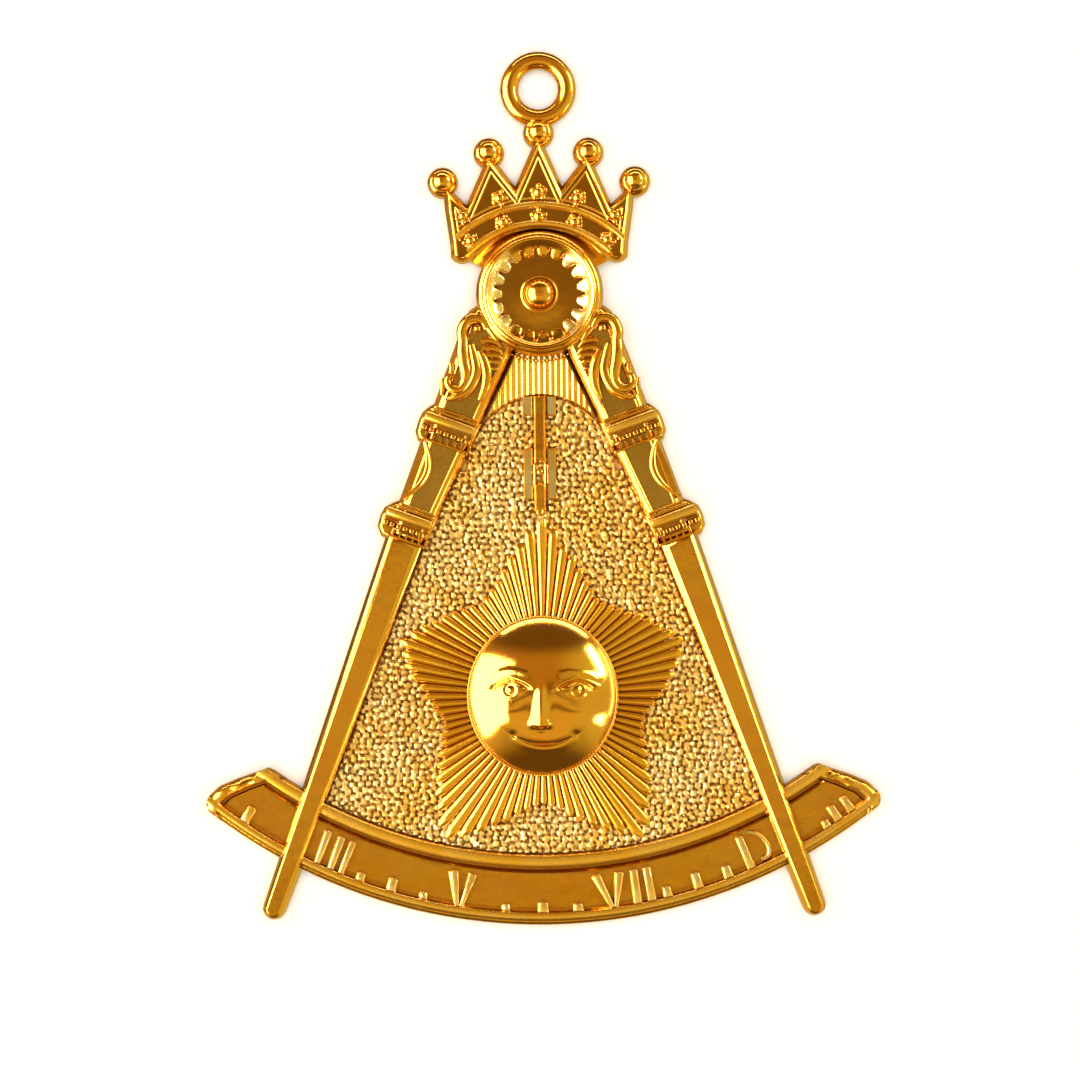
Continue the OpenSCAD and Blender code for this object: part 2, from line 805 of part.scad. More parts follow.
// Size of the star at which one of its tips stands clear of the arc's inner edge
function reach_to_arc(row) = let (
    s = tip_step(row),
    c = [0, sun_rise - arc_in_r],
    b = s * c,
    a = s * s
) (sqrt(b * b - a * (c * c - (arc_in_r - star_gap) ^ 2)) - b) / a;
// Reach of the star at an angle from its top, along concave edges between tips and valleys
function star_reach(turn) = let (
    a = turn > 180 ? 360 - turn : turn,
    k = [for (j = [0:len(star_rows) - 2]) if (a >= star_rows[j][0]) j],
    j = k[len(k) - 1],
    tip = star_rows[j % 2 == 0 ? j : j + 1],
    valley = star_rows[j % 2 == 0 ? j + 1 : j],
    share = (a - tip[0]) / (valley[0] - tip[0])
) star_r * (tip[1] + (valley[1] - tip[1]) * (1 - (1 - share) ^ 1.5));

// Height of the rays' ridges at a radius
function ray_t_at(r) = ray_t + (ray_tip_t - ray_t) * (r - foot_r) / (star_r - foot_r);

module ray_star() {
    count = 2 * ray_count;
    step = 360 / count;
    function reach_at(i) = star_reach(step * ((i + count) % count));
    function end_r(i) = i % 2 == 0 ? reach_at(i) : min(reach_at(i - 1), reach_at(i + 1));
    function at(r, i) = r * [sin(i * step), cos(i * step)];
    function foot(i) = [foot_r * sin(i * step), foot_r * sun_oval * cos(i * step)];
    function groove(i) = i % 2 == 0 ? 0 : groove_t;
    points = concat(
        [[0, 0, 0], [0, 0, ray_t]],
        [for (i = [0:count - 1])
            let (p = foot(i), q = at(end_r(i), i))
                each [
                    [p.x, p.y, ray_t - groove(i)],
                    [q.x, q.y, ray_t_at(end_r(i)) - groove(i)],
                    [q.x, q.y, 0]
                ]]
    );
    faces = [
        for (i = [0:count - 1])
            let (m = 2 + 3 * i, n = 2 + 3 * ((i + 1) % count))
                each [
                    [1, m, n], [m, m + 1, n + 1], [m, n + 1, n], [m + 1, m + 2, n + 2],
                    [m + 1, n + 2, n + 1], [m + 2, 0, n + 2]
                ]
    ];
    color(gold)
        translate([0, -sun_drop, star_z])
            polyhedron(points, faces);
}

// Sun face

dome_rings = 20;
dome_sides = 60;
// Face features as shares of the dome's radius: brow, eye, nose and mouth heights on the face
brow_share = 0.34;
eye_share = 0.12;
nose_share = 0.26;
mouth_share = -0.56;

function bump(d, w) = exp(-(d / w) ^ 2);
function brow(x, y) = let (
    c = eye_gap / 2,
    d = y - sun_r * brow_share + 0.09 * (x - c) ^ 2
) bump(d, feature_h) * bump(x - c, eye_gap * 0.33);
function eye(x, y) = let (
    d = norm([(x - eye_gap / 2) / eye_gap * 4, (y - sun_r * eye_share) / eye_gap * 7])
) 0.6 * bump(d, 0.75) + 0.8 * bump(d - 1.05, 0.25);
function nose(x, y) = let (
    top = sun_r * nose_share,
    t = max(0, min(1, (top - y) / nose_l)),
    below = max(0, top - nose_l - y)
) (0.8 + 1.8 * t) * bump(x, feature_h * (1.2 + 2.4 * t)) * bump(below, feature_h)
    * bump(max(0, y - top), 3 * feature_h);
function lips(x, y) = let (
    d = y - sun_r * mouth_share - 0.12 * x * x
) bump(x, mouth_w * 0.42) * (bump(d - feature_h, feature_h) - 0.6 * bump(d, feature_h * 0.5)
    + bump(d + feature_h * 1.2, feature_h));
function cheek(x, y) = 0.9 * bump(norm([x - eye_gap * 0.52, y + sun_r * 0.3]), sun_r * 0.22);
// Height of the face at a point, over a dome that is level at its centre
function face_at(x, y) = let (
    share = norm([x, y / sun_oval]) / sun_r
) share > 0.999 ? 0
    : dome_h * (1 - share ^ 2.4) ^ 0.8 + feature_h * (1 - share ^ 6)
        * (brow(abs(x), y) + eye(abs(x), y) + nose(x, y) + lips(x, y) + cheek(abs(x), y));

module sun_face() {
    function at(k, i) = let (a = 360 * i / dome_sides, r = sun_r * sin(90 * k / dome_rings))
        [r * sin(a), r * sun_oval * cos(a)];
    last = 1 + dome_rings * dome_sides;
    levels = [[foot_r, sun_rim_h], [foot_r, 0]];
    points = concat(
        [[0, 0, sun_rim_h + face_at(0, 0)]],
        [for (k = [1:dome_rings], i = [0:dome_sides - 1])
            let (p = at(k, i)) [p.x, p.y, sun_rim_h + face_at(p.x, p.y)]],
        [for (level = levels, i = [0:dome_sides - 1])
            let (p = at(dome_rings, i) * level[0] / sun_r) [p.x, p.y, level[1]]]
    );
    function index(k, i) = 1 + (k - 1) * dome_sides + i % dome_sides;
    faces = concat(
        [for (i = [0:dome_sides - 1]) [0, index(1, i), index(1, i + 1)]],
        [for (k = [1:dome_rings + 1], i = [0:dome_sides - 1])
            each [[index(k, i), index(k + 1, i), index(k + 1, i + 1)],
                  [index(k, i), index(k + 1, i + 1), index(k, i + 1)]]],
        [[for (i = [dome_sides - 1:-1:0]) index(dome_rings + 2, i)]]
    );
    color(bright_gold)
        translate([0, -sun_drop, sun_z])
            polyhedron(points, faces);
}

// The whole jewel, with its origin at the middle of its back
module placed() {
    translate([0, -middle_y, 0])
        children();
}

placed() suspension_ring();
placed() crown();
placed() compass_head();
placed() left_leg();
placed() right_leg();
placed() arc_scale();
placed() field_plate();
placed() star_link();
placed() ray_star();
placed() sun_face();
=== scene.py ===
import math
import random

import bmesh
import bpy
from mathutils import Matrix, Vector, kdtree, noise


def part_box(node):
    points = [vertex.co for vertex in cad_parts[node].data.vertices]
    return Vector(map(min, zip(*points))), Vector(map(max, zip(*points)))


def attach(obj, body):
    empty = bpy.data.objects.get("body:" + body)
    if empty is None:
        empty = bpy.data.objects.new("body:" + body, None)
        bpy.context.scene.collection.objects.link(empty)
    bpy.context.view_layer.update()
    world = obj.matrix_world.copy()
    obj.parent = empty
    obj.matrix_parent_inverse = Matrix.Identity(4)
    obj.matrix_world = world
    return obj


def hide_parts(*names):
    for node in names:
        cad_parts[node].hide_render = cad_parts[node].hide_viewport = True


# Gilt collar jewel: crowned compasses on a graduated arc, a rayed sun on a pebbled field.
# Shapes are drawn in millimetres about the centre of the compass head, X right and Y up.

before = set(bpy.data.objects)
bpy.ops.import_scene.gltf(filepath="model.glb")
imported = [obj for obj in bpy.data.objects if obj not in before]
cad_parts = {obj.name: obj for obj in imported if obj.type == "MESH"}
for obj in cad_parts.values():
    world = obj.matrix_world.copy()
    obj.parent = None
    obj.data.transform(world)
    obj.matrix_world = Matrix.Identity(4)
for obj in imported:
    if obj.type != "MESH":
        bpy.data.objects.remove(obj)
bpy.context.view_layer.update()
random.seed(11)

headLow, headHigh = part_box("compass_head")
headY = 500 * (headLow.y + headHigh.y)  # height of the head's centre in the row frame
print("frame loaded, head centre at", round(headY, 2), "mm")


def lerp(a, b, t):
    return a + (b - a) * t


def clamp(x, low=0.0, high=1.0):
    return max(low, min(high, x))


def ease(low, high, x):
    t = clamp((x - low) / (high - low))
    return t * t * (3 - 2 * t)


def along(rows, x):
    # value on a broken line of (x, value) rows
    for (a, p), (b, q) in zip(rows, rows[1:]):
        if x <= b:
            return lerp(p, q, clamp((x - a) / (b - a)))
    return rows[-1][1]


def smoothPath(points, steps=6):
    # a flowing curve through the points, with every extra value carried along
    rows = [Vector(p) for p in points]
    out = []
    for i in range(len(rows) - 1):
        a, b, c, d = rows[max(i - 1, 0)], rows[i], rows[i + 1], rows[min(i + 2, len(rows) - 1)]
        for k in range(steps):
            t = k / steps
            out.append(0.5 * (2 * b + (c - a) * t + (2 * a - 5 * b + 4 * c - d) * t * t
                              + (3 * b - a - 3 * c + d) * t ** 3))
    out.append(rows[-1])
    return out


def plate(bm, points, low, high, steps=(), paint=0):
    # an outline raised from low to high, then stepped inwards, up or down; gives back its top
    area = sum(p[0] * q[1] - q[0] * p[1] for p, q in zip(points, points[1:] + points[:1]))
    corners = [bm.verts.new((p[0], p[1], low)) for p in points]
    base = bm.faces.new(corners if area > 0 else corners[::-1])
    grown = bmesh.ops.extrude_face_region(bm, geom=[base])["geom"]
    top = next(g for g in grown if isinstance(g, bmesh.types.BMFace))
    bmesh.ops.translate(bm, vec=(0, 0, high - low), verts=top.verts)
    for thickness, rise in steps:
        bmesh.ops.inset_region(bm, faces=[top], thickness=thickness, depth=rise,
                               use_even_offset=True)
    top.material_index = paint
    return top


def inward(points, gap):
    # a line drawn inside a broken line that runs anticlockwise, at a set gap
    rows = [Vector(p) for p in points]
    out = []
    for i, p in enumerate(rows):
        ways = [(rows[j + 1] - rows[j]).normalized() for j in (i - 1, i) if 0 <= j < len(rows) - 1]
        sides = [Vector((-w.y, w.x)) for w in ways]
        mean = (sides[0] + sides[-1]).normalized()
        out.append(p + mean * gap / max(0.2, mean.dot(sides[0])))
    return out


def turned(bm, profile, centre=(0, 0), steps=48, closed=False):
    # rows of radius and height turned about an upright axis
    x, y = centre
    rows = [bm.verts.new((x + r, y, z)) for r, z in profile]
    edges = [bm.edges.new(p) for p in zip(rows, rows[1:])]
    if closed:
        edges.append(bm.edges.new((rows[-1], rows[0])))
    bmesh.ops.spin(bm, geom=rows + edges, cent=(x, y, 0), axis=(0, 0, 1),
                   angle=2 * math.pi, steps=steps, use_merge=True)


def bar(bm, rows, sides=10, flat=1.0):
    # a round bar drawn out through rows of x, y, z and radius
    count = len(rows)

    def seat(i):
        here, r = Vector(rows[i][:3]), rows[i][3]
        way = Vector(rows[min(i + 1, count - 1)][:3]) - Vector(rows[max(i - 1, 0)][:3])
        way.normalize()
        side = way.cross(Vector((0, 0, 1))).normalized()
        up = side.cross(way)
        turn = Matrix((side * r, up * r * flat, way)).transposed().to_4x4()
        return Matrix.Translation(here) @ turn

    old = seat(0)
    ring = bmesh.ops.create_circle(bm, cap_ends=True, segments=sides, radius=1, matrix=old)["verts"]
    edges = list({e for v in ring for e in v.link_edges})
    for i in range(1, count):
        new = seat(i)
        grown = bmesh.ops.extrude_edge_only(bm, edges=edges)["geom"]
        ring = [g for g in grown if isinstance(g, bmesh.types.BMVert)]
        found = set(ring)
        edges = [g for g in grown if isinstance(g, bmesh.types.BMEdge)
                 and g.verts[0] in found and g.verts[1] in found]
        bmesh.ops.transform(bm, matrix=new @ old.inverted(), verts=ring)
        old = new
    bmesh.ops.contextual_create(bm, geom=edges)


def sheet(bm, columns, rows, place, foot, keep=None):
    # a grid shaped by place(s, t), s and t from 0 to 1, with walls down to foot and a flat back
    made = bmesh.ops.create_grid(bm, x_segments=columns, y_segments=rows, size=0.5)["verts"]
    for v in made:
        v.co = place(v.co.x + 0.5, v.co.y + 0.5)
    if keep:
        gone = [v for v in made if not keep(v.co)]
        bmesh.ops.delete(bm, geom=gone, context="VERTS")
    closeBack(bm, foot)


def closeBack(bm, foot):
    edges = [e for e in bm.edges if e.is_boundary]
    grown = bmesh.ops.extrude_edge_only(bm, edges=edges)["geom"]
    ring = [g for g in grown if isinstance(g, bmesh.types.BMVert)]
    for v in ring:
        v.co.z = foot
    found = set(ring)
    edges = [g for g in grown if isinstance(g, bmesh.types.BMEdge)
             and g.verts[0] in found and g.verts[1] in found]
    bmesh.ops.triangle_fill(bm, edges=edges, use_beauty=False, use_dissolve=False)


def finishPiece(name, bm, finishes, node, angle=38):
    bmesh.ops.remove_doubles(bm, verts=bm.verts, dist=0.0005)
    bmesh.ops.recalc_face_normals(bm, faces=bm.faces)
    bmesh.ops.translate(bm, vec=(0, headY, 0), verts=bm.verts)
    bmesh.ops.scale(bm, vec=(0.001, 0.001, 0.001), verts=bm.verts)
    limit = math.radians(angle)
    for f in bm.faces:
        f.smooth = True
    for e in bm.edges:
        if e.is_manifold and e.calc_face_angle() > limit:
            e.smooth = False
    mesh = bpy.data.meshes.new(name)
    bm.to_mesh(mesh)
    bm.free()
    piece = bpy.data.objects.new(name, mesh)
    bpy.context.scene.collection.objects.link(piece)
    for finish in finishes:
        mesh.materials.append(finish.material)
    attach(piece, "root")
    if node:
        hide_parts(node)
    print("made", name, len(mesh.polygons), "faces")
    return piece


class Wire:
    # a value between nodes, with ordinary arithmetic

    def __init__(self, nodes, socket):
        self.nodes, self.socket = nodes, socket

    def __add__(self, other):
        return self.nodes.maths("ADD", self, other)

    def __sub__(self, other):
        return self.nodes.maths("SUBTRACT", self, other)

    def __rsub__(self, other):
        return self.nodes.maths("SUBTRACT", other, self)

    def __mul__(self, other):
        return self.nodes.maths("MULTIPLY", self, other)

    __radd__ = __add__
    __rmul__ = __mul__


class Nodes:

    def __init__(self, tree):
        self.tree = tree

    def node(self, kind, settings=None, values=None, output=0):
        made = self.tree.nodes.new("ShaderNode" + kind)
        for key, value in (settings or {}).items():
            setattr(made, key, value)
        for key, value in (values or {}).items():
            if isinstance(value, Wire):
                self.tree.links.new(value.socket, made.inputs[key])
            else:
                made.inputs[key].default_value = value
        return Wire(self, made.outputs[output])

    def maths(self, kind, *values):
        return self.node("Math", {"operation": kind}, dict(enumerate(values)))

    def band(self, value, low, high):
        return self.node("MapRange", {"interpolation_type": "SMOOTHSTEP"},
                         {"Value": value, "From Min": low, "From Max": high})

    def blend(self, share, first, second):
        return self.node("Mix", {"data_type": "RGBA"}, {0: share, 6: first, 7: second}, output=2)


class Finish(Nodes):

    def __init__(self, name):
        self.material = bpy.data.materials.new(name)
        self.material.use_nodes = True
        super().__init__(self.material.node_tree)
        self.shader = self.tree.nodes["Principled BSDF"]
        self.spot = self.node("TexCoord", output="Object")

    def put(self, **values):
        for key, value in values.items():
            name = key.replace("_", " ")
            if isinstance(value, Wire):
                self.tree.links.new(value.socket, self.shader.inputs[name])
            else:
                self.shader.inputs[name].default_value = value

    def patches(self, scale, detail=3, rough=0.5):
        return self.node("TexNoise", values={"Vector": self.spot, "Scale": scale, "Detail": detail,
                                             "Roughness": rough})

    def bump(self, height, strength, depth):
        return self.node("Bump", values={"Height": height, "Strength": strength,
                                         "Distance": depth}, output=0)


giltLooks = {
    "bright": (1.0, 0.52, 0.015, 1),
    "warm": (1.0, 0.46, 0.01, 1),
    "olive": (0.60, 0.38, 0.06, 1),
    "moss": (0.70, 0.42, 0.06, 1),
    "pale": (1.0, 0.58, 0.075, 1),
    "cream": (1.0, 0.74, 0.26, 1),
    "sand": (0.62, 0.51, 0.20, 1),
    "gold": (1.0, 0.62, 0.10, 1),
    # painted shade: the dark brown blended into hollows and next to the floor
    "paintedHollowShade": (0.25, 0.075, 0.003, 1),
}


def gilt(name, firstTone, secondTone, roughness, wave, grain, grainScale, shadeReach=0.0011, shadeDepth=0.75,
         metal=1.0):
    # plated metal: tone drifts slowly, hollows darken with painted shade, polish varies and fine marks catch
    # light
    finish = Finish(name)
    drift = finish.band(finish.patches(260, 3), 0.35, 0.68)
    tone = finish.blend(drift, giltLooks[firstTone], giltLooks[secondTone])
    # painted shade: an occlusion mask, which also counts nearby parts and the floor, blends the colour towards
    # the dark brown
    cover = finish.node("AmbientOcclusion", {"samples": 8}, {"Distance": shadeReach}, output="AO")
    paintedHollowShade = (1 - finish.band(cover, 0.25, 0.85)) * shadeDepth
    rub = finish.patches(1900, 4, 0.7)
    marks = finish.patches(grainScale, 2, 0.6)
    polish = roughness + (rub - 0.5) * (roughness * 0.5) + paintedHollowShade * 0.12
    ripple = finish.patches(420, 2)
    face = finish.bump(ripple, wave, 0.0004)
    height = finish.node("Bump", values={"Height": marks, "Strength": grain, "Distance": 0.00006,
                                         "Normal": face})
    finish.put(Base_Color=finish.blend(paintedHollowShade, tone, giltLooks["paintedHollowShade"]), Roughness=polish,
               Metallic=metal, Normal=height, Coat_Weight=0.9, Coat_Roughness=0.12, Coat_IOR=1.8)
    return finish


polished = gilt("polishedGilt", "bright", "warm", 0.15, 0.10, 0.12, 9000)
castGilt = gilt("castGilt", "bright", "warm", 0.17, 0.34, 0.4, 5200)
satin = gilt("satinGilt", "pale", "bright", 0.28, 0.06, 0.08, 9000, 0.0007, 0.7, 0.9)
olive = gilt("oliveGilt", "olive", "moss", 0.26, 0.06, 0.18, 15000)
sandGilt = gilt("sandGilt", "sand", "olive", 0.3, 0.06, 0.16, 15000, 0.0006, 0.75, 0.78)
# cream gilt for the arc's figures, also the painted highlight on the head's side walls
figureAndHighlightGilt = gilt("figureAndHighlightGilt", "cream", "gold", 0.24, 0.2, 0.3, 5000, 0.0005, 0.6, 0.86)
pebbled = gilt("pebbledGilt", "cream", "gold", 0.34, 0.1, 0.5, 14000, 0.0006, 0.8, 0.78)
rayed = gilt("rayedGilt", "bright", "warm", 0.2, 0.08, 0.2, 9000, 0.0006, 0.75, 0.87)
mirrorGilt = gilt("mirrorGilt", "bright", "warm", 0.1, 0.06, 0.06, 12000, 0.0005, 0.5)
print("finishes made")


ringSizes = {"centre": 20.45, "outer": 3.75, "bore": 2.0, "thick": 2.0, "neck": 1.3, "foot": 16.1}


def suspensionRing():
    s = ringSizes
    bm = bmesh.new()
    middle, half = (s["outer"] + s["bore"]) / 2, (s["outer"] - s["bore"]) / 2
    section = [(middle + half * math.cos(math.radians(a)),
                s["thick"] / 2 * (1 + math.sin(math.radians(a)) * (0.98 if a < 180 else 1)))
               for a in range(0, 360, 15)]
    turned(bm, section, (0, s["centre"]), 96, closed=True)
    y0, y1, w = s["foot"] + 1.2, s["centre"] - middle, s["neck"] / 2
    plate(bm, [(-w, y0), (w, y0), (w * 0.9, y0 + 0.5), (w * 1.25, y1), (-w * 1.25, y1),
               (-w * 0.9, y0 + 0.5)], 0.1, 1.1, [(0.18, 0.5), (0.2, 0.2)])
    finishPiece("suspensionRing", bm, [polished], "suspension_ring")


crownSizes = {
    "drop": -3.2, "bandR": 12.2, "bandW": 2.6, "angle": 51.5, "spire": 7.1, "thick": 1.9,
    "edge": 1.1, "skirt": 0.42, "pearl": 1.05, "lobe": 1.5, "gem": 0.54,
    "side": [(0.905, 0), (0.757, 0.37)],
    "points": [(0.652, 0.72), (0.592, 0.28), (0.31, 0.82), (0.184, 0.28)],
    "bandGems": [-0.75, -0.37, 0, 0.37, 0.75], "spireGems": [-0.67, -0.33, 0, 0.33, 0.67],
}


def crownSpot(r, turn):
    a = math.radians(turn)
    return r * math.sin(a), crownSizes["drop"] + r * math.cos(a)


def spireSpot(share, rise):
    s = crownSizes
    return crownSpot(s["bandR"] + rise * s["spire"], share * s["angle"])


def crown():
    s = crownSizes
    bm = bmesh.new()
    half = [spireSpot(*p) for p in s["side"] + s["points"]]
    inside, round_ = s["bandR"] - s["bandW"], s["bandW"] / 2
    foot = [crownSpot(inside, 45 * k / 9) for k in range(-9, 10)]
    cx, cy = crownSpot(inside + round_, 45)
    end = [(cx - round_ * math.sin(math.radians(45 + k)), cy - round_ * math.cos(math.radians(45 + k)))
           for k in (-20, -40, -60, -80, -100)]
    right = end + half
    outline = foot + right + [spireSpot(0, 1)] + [(-x, y) for x, y in right[::-1]]
    pocket = plate(bm, outline, 0, s["edge"],
                   [(0.12, 0.38), (0.24, 0.50), (0.08, 0.16), (0.13, 0.08), (0.14, -0.06),
                    (0.06, -0.28), (0.04, 0)])
    pocket.material_index = 1
    bmesh.ops.triangulate(bm, faces=[pocket], ngon_method="EAR_CLIP")
    # the lines over and under the band
    for r, turn, z, thick in ((s["bandR"] - 0.12, 43.4, 1.9, 0.38), (s["bandR"] + 0.52, 42, 1.9, 0.15),
                              (inside + 0.62, 43.5, 1.98, 0.36)):
        made = len(bm.faces)
        bar(bm, [(*crownSpot(r, turn * k / 24), z, thick) for k in range(-24, 25)], 12, 1.2)
        bm.faces.ensure_lookup_table()
        for f in bm.faces[made:]:
            f.material_index = 2
    # the second line inside every spire
    spires = half + [spireSpot(0, 1)] + [(-x, y) for x, y in half[::-1]]
    lines = inward(spires, 1.02)
    for i, (p, q) in enumerate(zip(lines, lines[1:])):
        if (q - p).length > 0.6:
            bar(bm, [(*p, 1.96, 0.13), (*q, 1.96, 0.13)], 8)
    for share in s["bandGems"]:
        gem(bm, *crownSpot(s["bandR"] - s["bandW"] / 2, share * s["angle"]), share * s["angle"])
    for share in s["spireGems"]:
        gem(bm, *crownSpot(s["bandR"] * 1.09, share * s["angle"]), share * s["angle"])
    for share, rise in [(0.652, 0.72), (0.31, 0.82), (0, 1), (-0.31, 0.82), (-0.652, 0.72)]:
        x, y = spireSpot(share, rise)
        r = s["lobe"]
        turned(bm, [(0, 0.12), (r, 0.12), (r, 1.0), (r * 0.95, 1.35), (r * 0.82, 1.7),
                    (r * 0.6, 1.95), (0, 2.1)], (x, y), 40)
        turned(bm, [(s["pearl"] * math.cos(a), 2.15 + s["pearl"] * math.sin(a))
                    for a in [math.radians(k) for k in range(-90, 91, 9)]], (x, y), 40)
    finishPiece("crownCasting", bm, [polished, mirrorGilt, satin], "crown")


def crownWeb():
    # the hollow cove between the band and the head
    s = crownSizes
    bm = bmesh.new()

    def place(c, t):
        a = math.radians(lerp(-64, 64, c))
        foot = s["drop"] * math.cos(a) + math.sqrt((s["drop"] * math.cos(a)) ** 2
                                                   + (s["bandR"] - s["bandW"]) ** 2 - s["drop"] ** 2)
        r = lerp(5.9, foot + 0.5, t)
        z = 1.46 + 0.5 * ease(6.3, foot + 0.1, r) ** 1.4
        z -= 0.25 * ease(0.06, 0.0, min(c, 1 - c))
        return r * math.sin(a), r * math.cos(a), z

    sheet(bm, 64, 10, place, 0.12)
    finishPiece("crownWeb", bm, [polished], None)


def gem(bm, x, y, turn):
    # a small ball held by five petals on a round foot
    s = crownSizes
    g, z = s["gem"], s["thick"] - 0.05
    turned(bm, [(0, z - 0.4), (0.86, z - 0.4), (0.86, z - 0.1), (0.78, z + 0.04), (0.6, z + 0.12), (0, z + 0.12)],
           (x, y), 24)
    turned(bm, [(g * math.cos(a), z + 0.22 + g * math.sin(a))
                for a in [math.radians(k) for k in range(-90, 91, 15)]], (x, y), 20)
    for k in range(5):
        a = math.radians(72 * k - turn)
        px, py = x + 0.64 * math.sin(a), y + 0.64 * math.cos(a)
        turned(bm, [(0.3 * math.cos(b), z + 0.06 + 0.3 * math.sin(b))
                    for b in [math.radians(k) for k in range(-90, 91, 22)]], (px, py), 12)


headSizes = {"r": 6.3, "foot": 1.45, "high": 3.4, "dish": 5.05, "floor": 3.75, "floorZ": 2.2,
             "teeth": 19, "boss": 1.5}


def compassHead():
    s = headSizes
    bm = bmesh.new()
    profile = [(0, s["foot"]), (s["r"], s["foot"]), (6.3, 1.85), (6.25, 2.25), (6.12, 2.65), (5.95, 2.9),
               (5.82, 2.98), (5.74, 3.02), (5.66, 3.2), (5.54, 3.34), (5.4, 3.4), (5.26, 3.36),
               (5.14, 3.22), (4.95, 3.06), (4.75, 2.92), (4.55, 2.78), (4.38, 2.68), (4.24, 2.62),
               (4.12, 2.58), (4.02, 2.5), (3.98, 2.36), (3.95, 2.22), (3.3, 2.22),
               (2.8, 2.232), (2.2, 2.25), (1.9, 2.258), (1.86, 2.38), (1.74, 2.44), (1.6, 2.4), (1.5, 2.32)]
    r = s["boss"] - 0.02
    profile += [(r * math.cos(a), 2.3 + r * math.sin(a) * 0.85)
                for a in [math.radians(k) for k in range(8, 91, 8)]] + [(0, 2.3 + r * 0.85)]
    turned(bm, profile, (0, 0), 228)
    teeth = [random.uniform(0.7, 1.3) for _ in range(s["teeth"])]
    for v in bm.verts:
        d = math.hypot(v.co.x, v.co.y)
        if 3.0 < d < 4.7 and v.co.z > 2.15:
            turn = math.atan2(v.co.y, v.co.x) / (2 * math.pi) % 1 * s["teeth"]
            size = teeth[int(turn) % s["teeth"]]
            wave = abs((turn % 1) * 2 - 1) ** 3  # 1 in the notches, 0 over a tooth
            near = ease(4.7, 4.15, d) if d > 4.1 else ease(3.35, 3.9, d)
            shift = (wave - 0.42) * 0.62 * size * near
            ripple = 0.16 * (0.3 - wave) * size * ease(4.7, 4.3, d) * ease(3.96, 4.02, d)
            v.co.x *= (d + shift) / d
            v.co.y *= (d + shift) / d
            v.co.z += ripple
        if 3.97 < d < 5.2 and v.co.z > 2.4:
            v.co.z -= 0.27 * abs(v.co.x / d) ** 1.5 * clamp((5.14 - d) / 0.9)
    for f in bm.faces:
        c = f.calc_center_median()
        if math.hypot(c.x, c.y) < 4.2 and 2.1 < c.z < 2.28:
            f.material_index = 1
        # painted highlight: only the tooth wall's left and right sides take the paler cream finish, where they
        # show lit; the top and bottom stay polished gilt
        elif abs(c.x) > 0.6 * math.hypot(c.x, c.y) and math.hypot(c.x, c.y) < 5.25 and c.z > 2.3:
            f.material_index = 2 if abs(c.x) > 2 else 0
    finishPiece("compassHead", bm, [polished, mirrorGilt, figureAndHighlightGilt], "compass_head")


# Leg lengths: u runs down the leg's axis, v outwards across it.
legSizes = {
    "angle": 20.2, "offset": 4.2, "long": 67.6, "shankOut": 2.0, "shankIn": 4.0, "blade": 4.2,
    "tip": 2.3, "collars": [(13.9, 2.9), (24.1, 3.3)], "collarL": 3.9, "knee": 28.0,
    "collarEdge": [(0, 0.1), (0.1, 0.45), (0.27, 0.9), (0.5, 1), (0.8, 0.92), (1, 0.35)],
}

# Scrolls of the shank: x outwards, y up, radius, about the head's centre.
scrollWork = {
    "hood": [(7.6, -4.95, 0.42), (7.7, -3.75, 0.46), (7.25, -2.75, 0.46), (6.45, -2.4, 0.45),
             (5.65, -2.7, 0.4), (5.25, -3.45, 0.3)],
    "tendril": [(7.6, -4.3, 0.4), (7.65, -5.5, 0.52), (7.55, -6.7, 0.52), (7.35, -7.85, 0.5),
                (7.5, -8.85, 0.46), (8.15, -9.5, 0.42), (8.9, -9.3, 0.36), (9.2, -8.65, 0.3),
                (8.95, -8.1, 0.26), (8.5, -8.2, 0.2)],
    "leafA": [(6.85, -5.05, 0.3), (6.55, -6.25, 0.42), (6.35, -7.45, 0.46), (6.6, -8.55, 0.46),
              (7.35, -9.65, 0.42), (8.35, -10.2, 0.36), (9.25, -10.4, 0.18)],
    "leafB": [(6.05, -5.65, 0.3), (5.5, -6.85, 0.44), (5.3, -8.15, 0.46), (5.5, -9.35, 0.4),
              (6.05, -10.55, 0.16)],
    "lip": [(5.3, -3.1, 0.26), (4.75, -3.8, 0.3), (4.2, -4.75, 0.2)],
    "shell1": [(5.85, -4.75, 0.2), (5.05, -4.6, 0.3), (4.25, -4.9, 0.22), (3.85, -5.4, 0.1)],
    "shell2": [(5.75, -5.45, 0.2), (4.95, -5.35, 0.3), (4.15, -5.6, 0.24), (3.75, -6.05, 0.1)],
    "shell3": [(5.45, -6.15, 0.2), (4.75, -6.05, 0.28), (4.05, -6.25, 0.22), (3.75, -6.65, 0.1)],
    "shell4": [(5.15, -6.85, 0.16), (4.6, -6.75, 0.26), (4.05, -6.95, 0.14)],
    "shell5": [(4.95, -7.55, 0.14), (4.6, -7.45, 0.22), (4.2, -7.6, 0.12)],
    "curl1": [(8.95, -6.75, 0.14), (8.75, -7.4, 0.22), (9.0, -8.0, 0.12)],
    "curl2": [(9.75, -8.35, 0.14), (9.65, -9.2, 0.24), (9.8, -10.0, 0.14)],
}


def legSpot(u, v):
    s = legSizes
    a = math.radians(s["angle"])
    return ((s["offset"] + v) * math.cos(a) + u * math.sin(a),
            (s["offset"] + v) * math.sin(a) - u * math.cos(a))


def legIn(u):
    s = legSizes
    if u < s["knee"]:
        return lerp(s["shankIn"], s["blade"] / 2, (u - 6.3) / (s["knee"] - 6.3))
    return lerp(s["blade"], s["tip"], (u - s["knee"]) / (s["long"] - s["knee"])) / 2


def legMeets(r):
    # distance down a leg's axis to a circle about the arc's centre
    a = math.radians(legSizes["angle"])
    w = Vector(legSpot(0, 0)) + Vector((0, 9))
    d = Vector((math.sin(a), -math.cos(a)))
    return math.sqrt(w.dot(d) ** 2 - w.dot(w) + r * r) - w.dot(d)


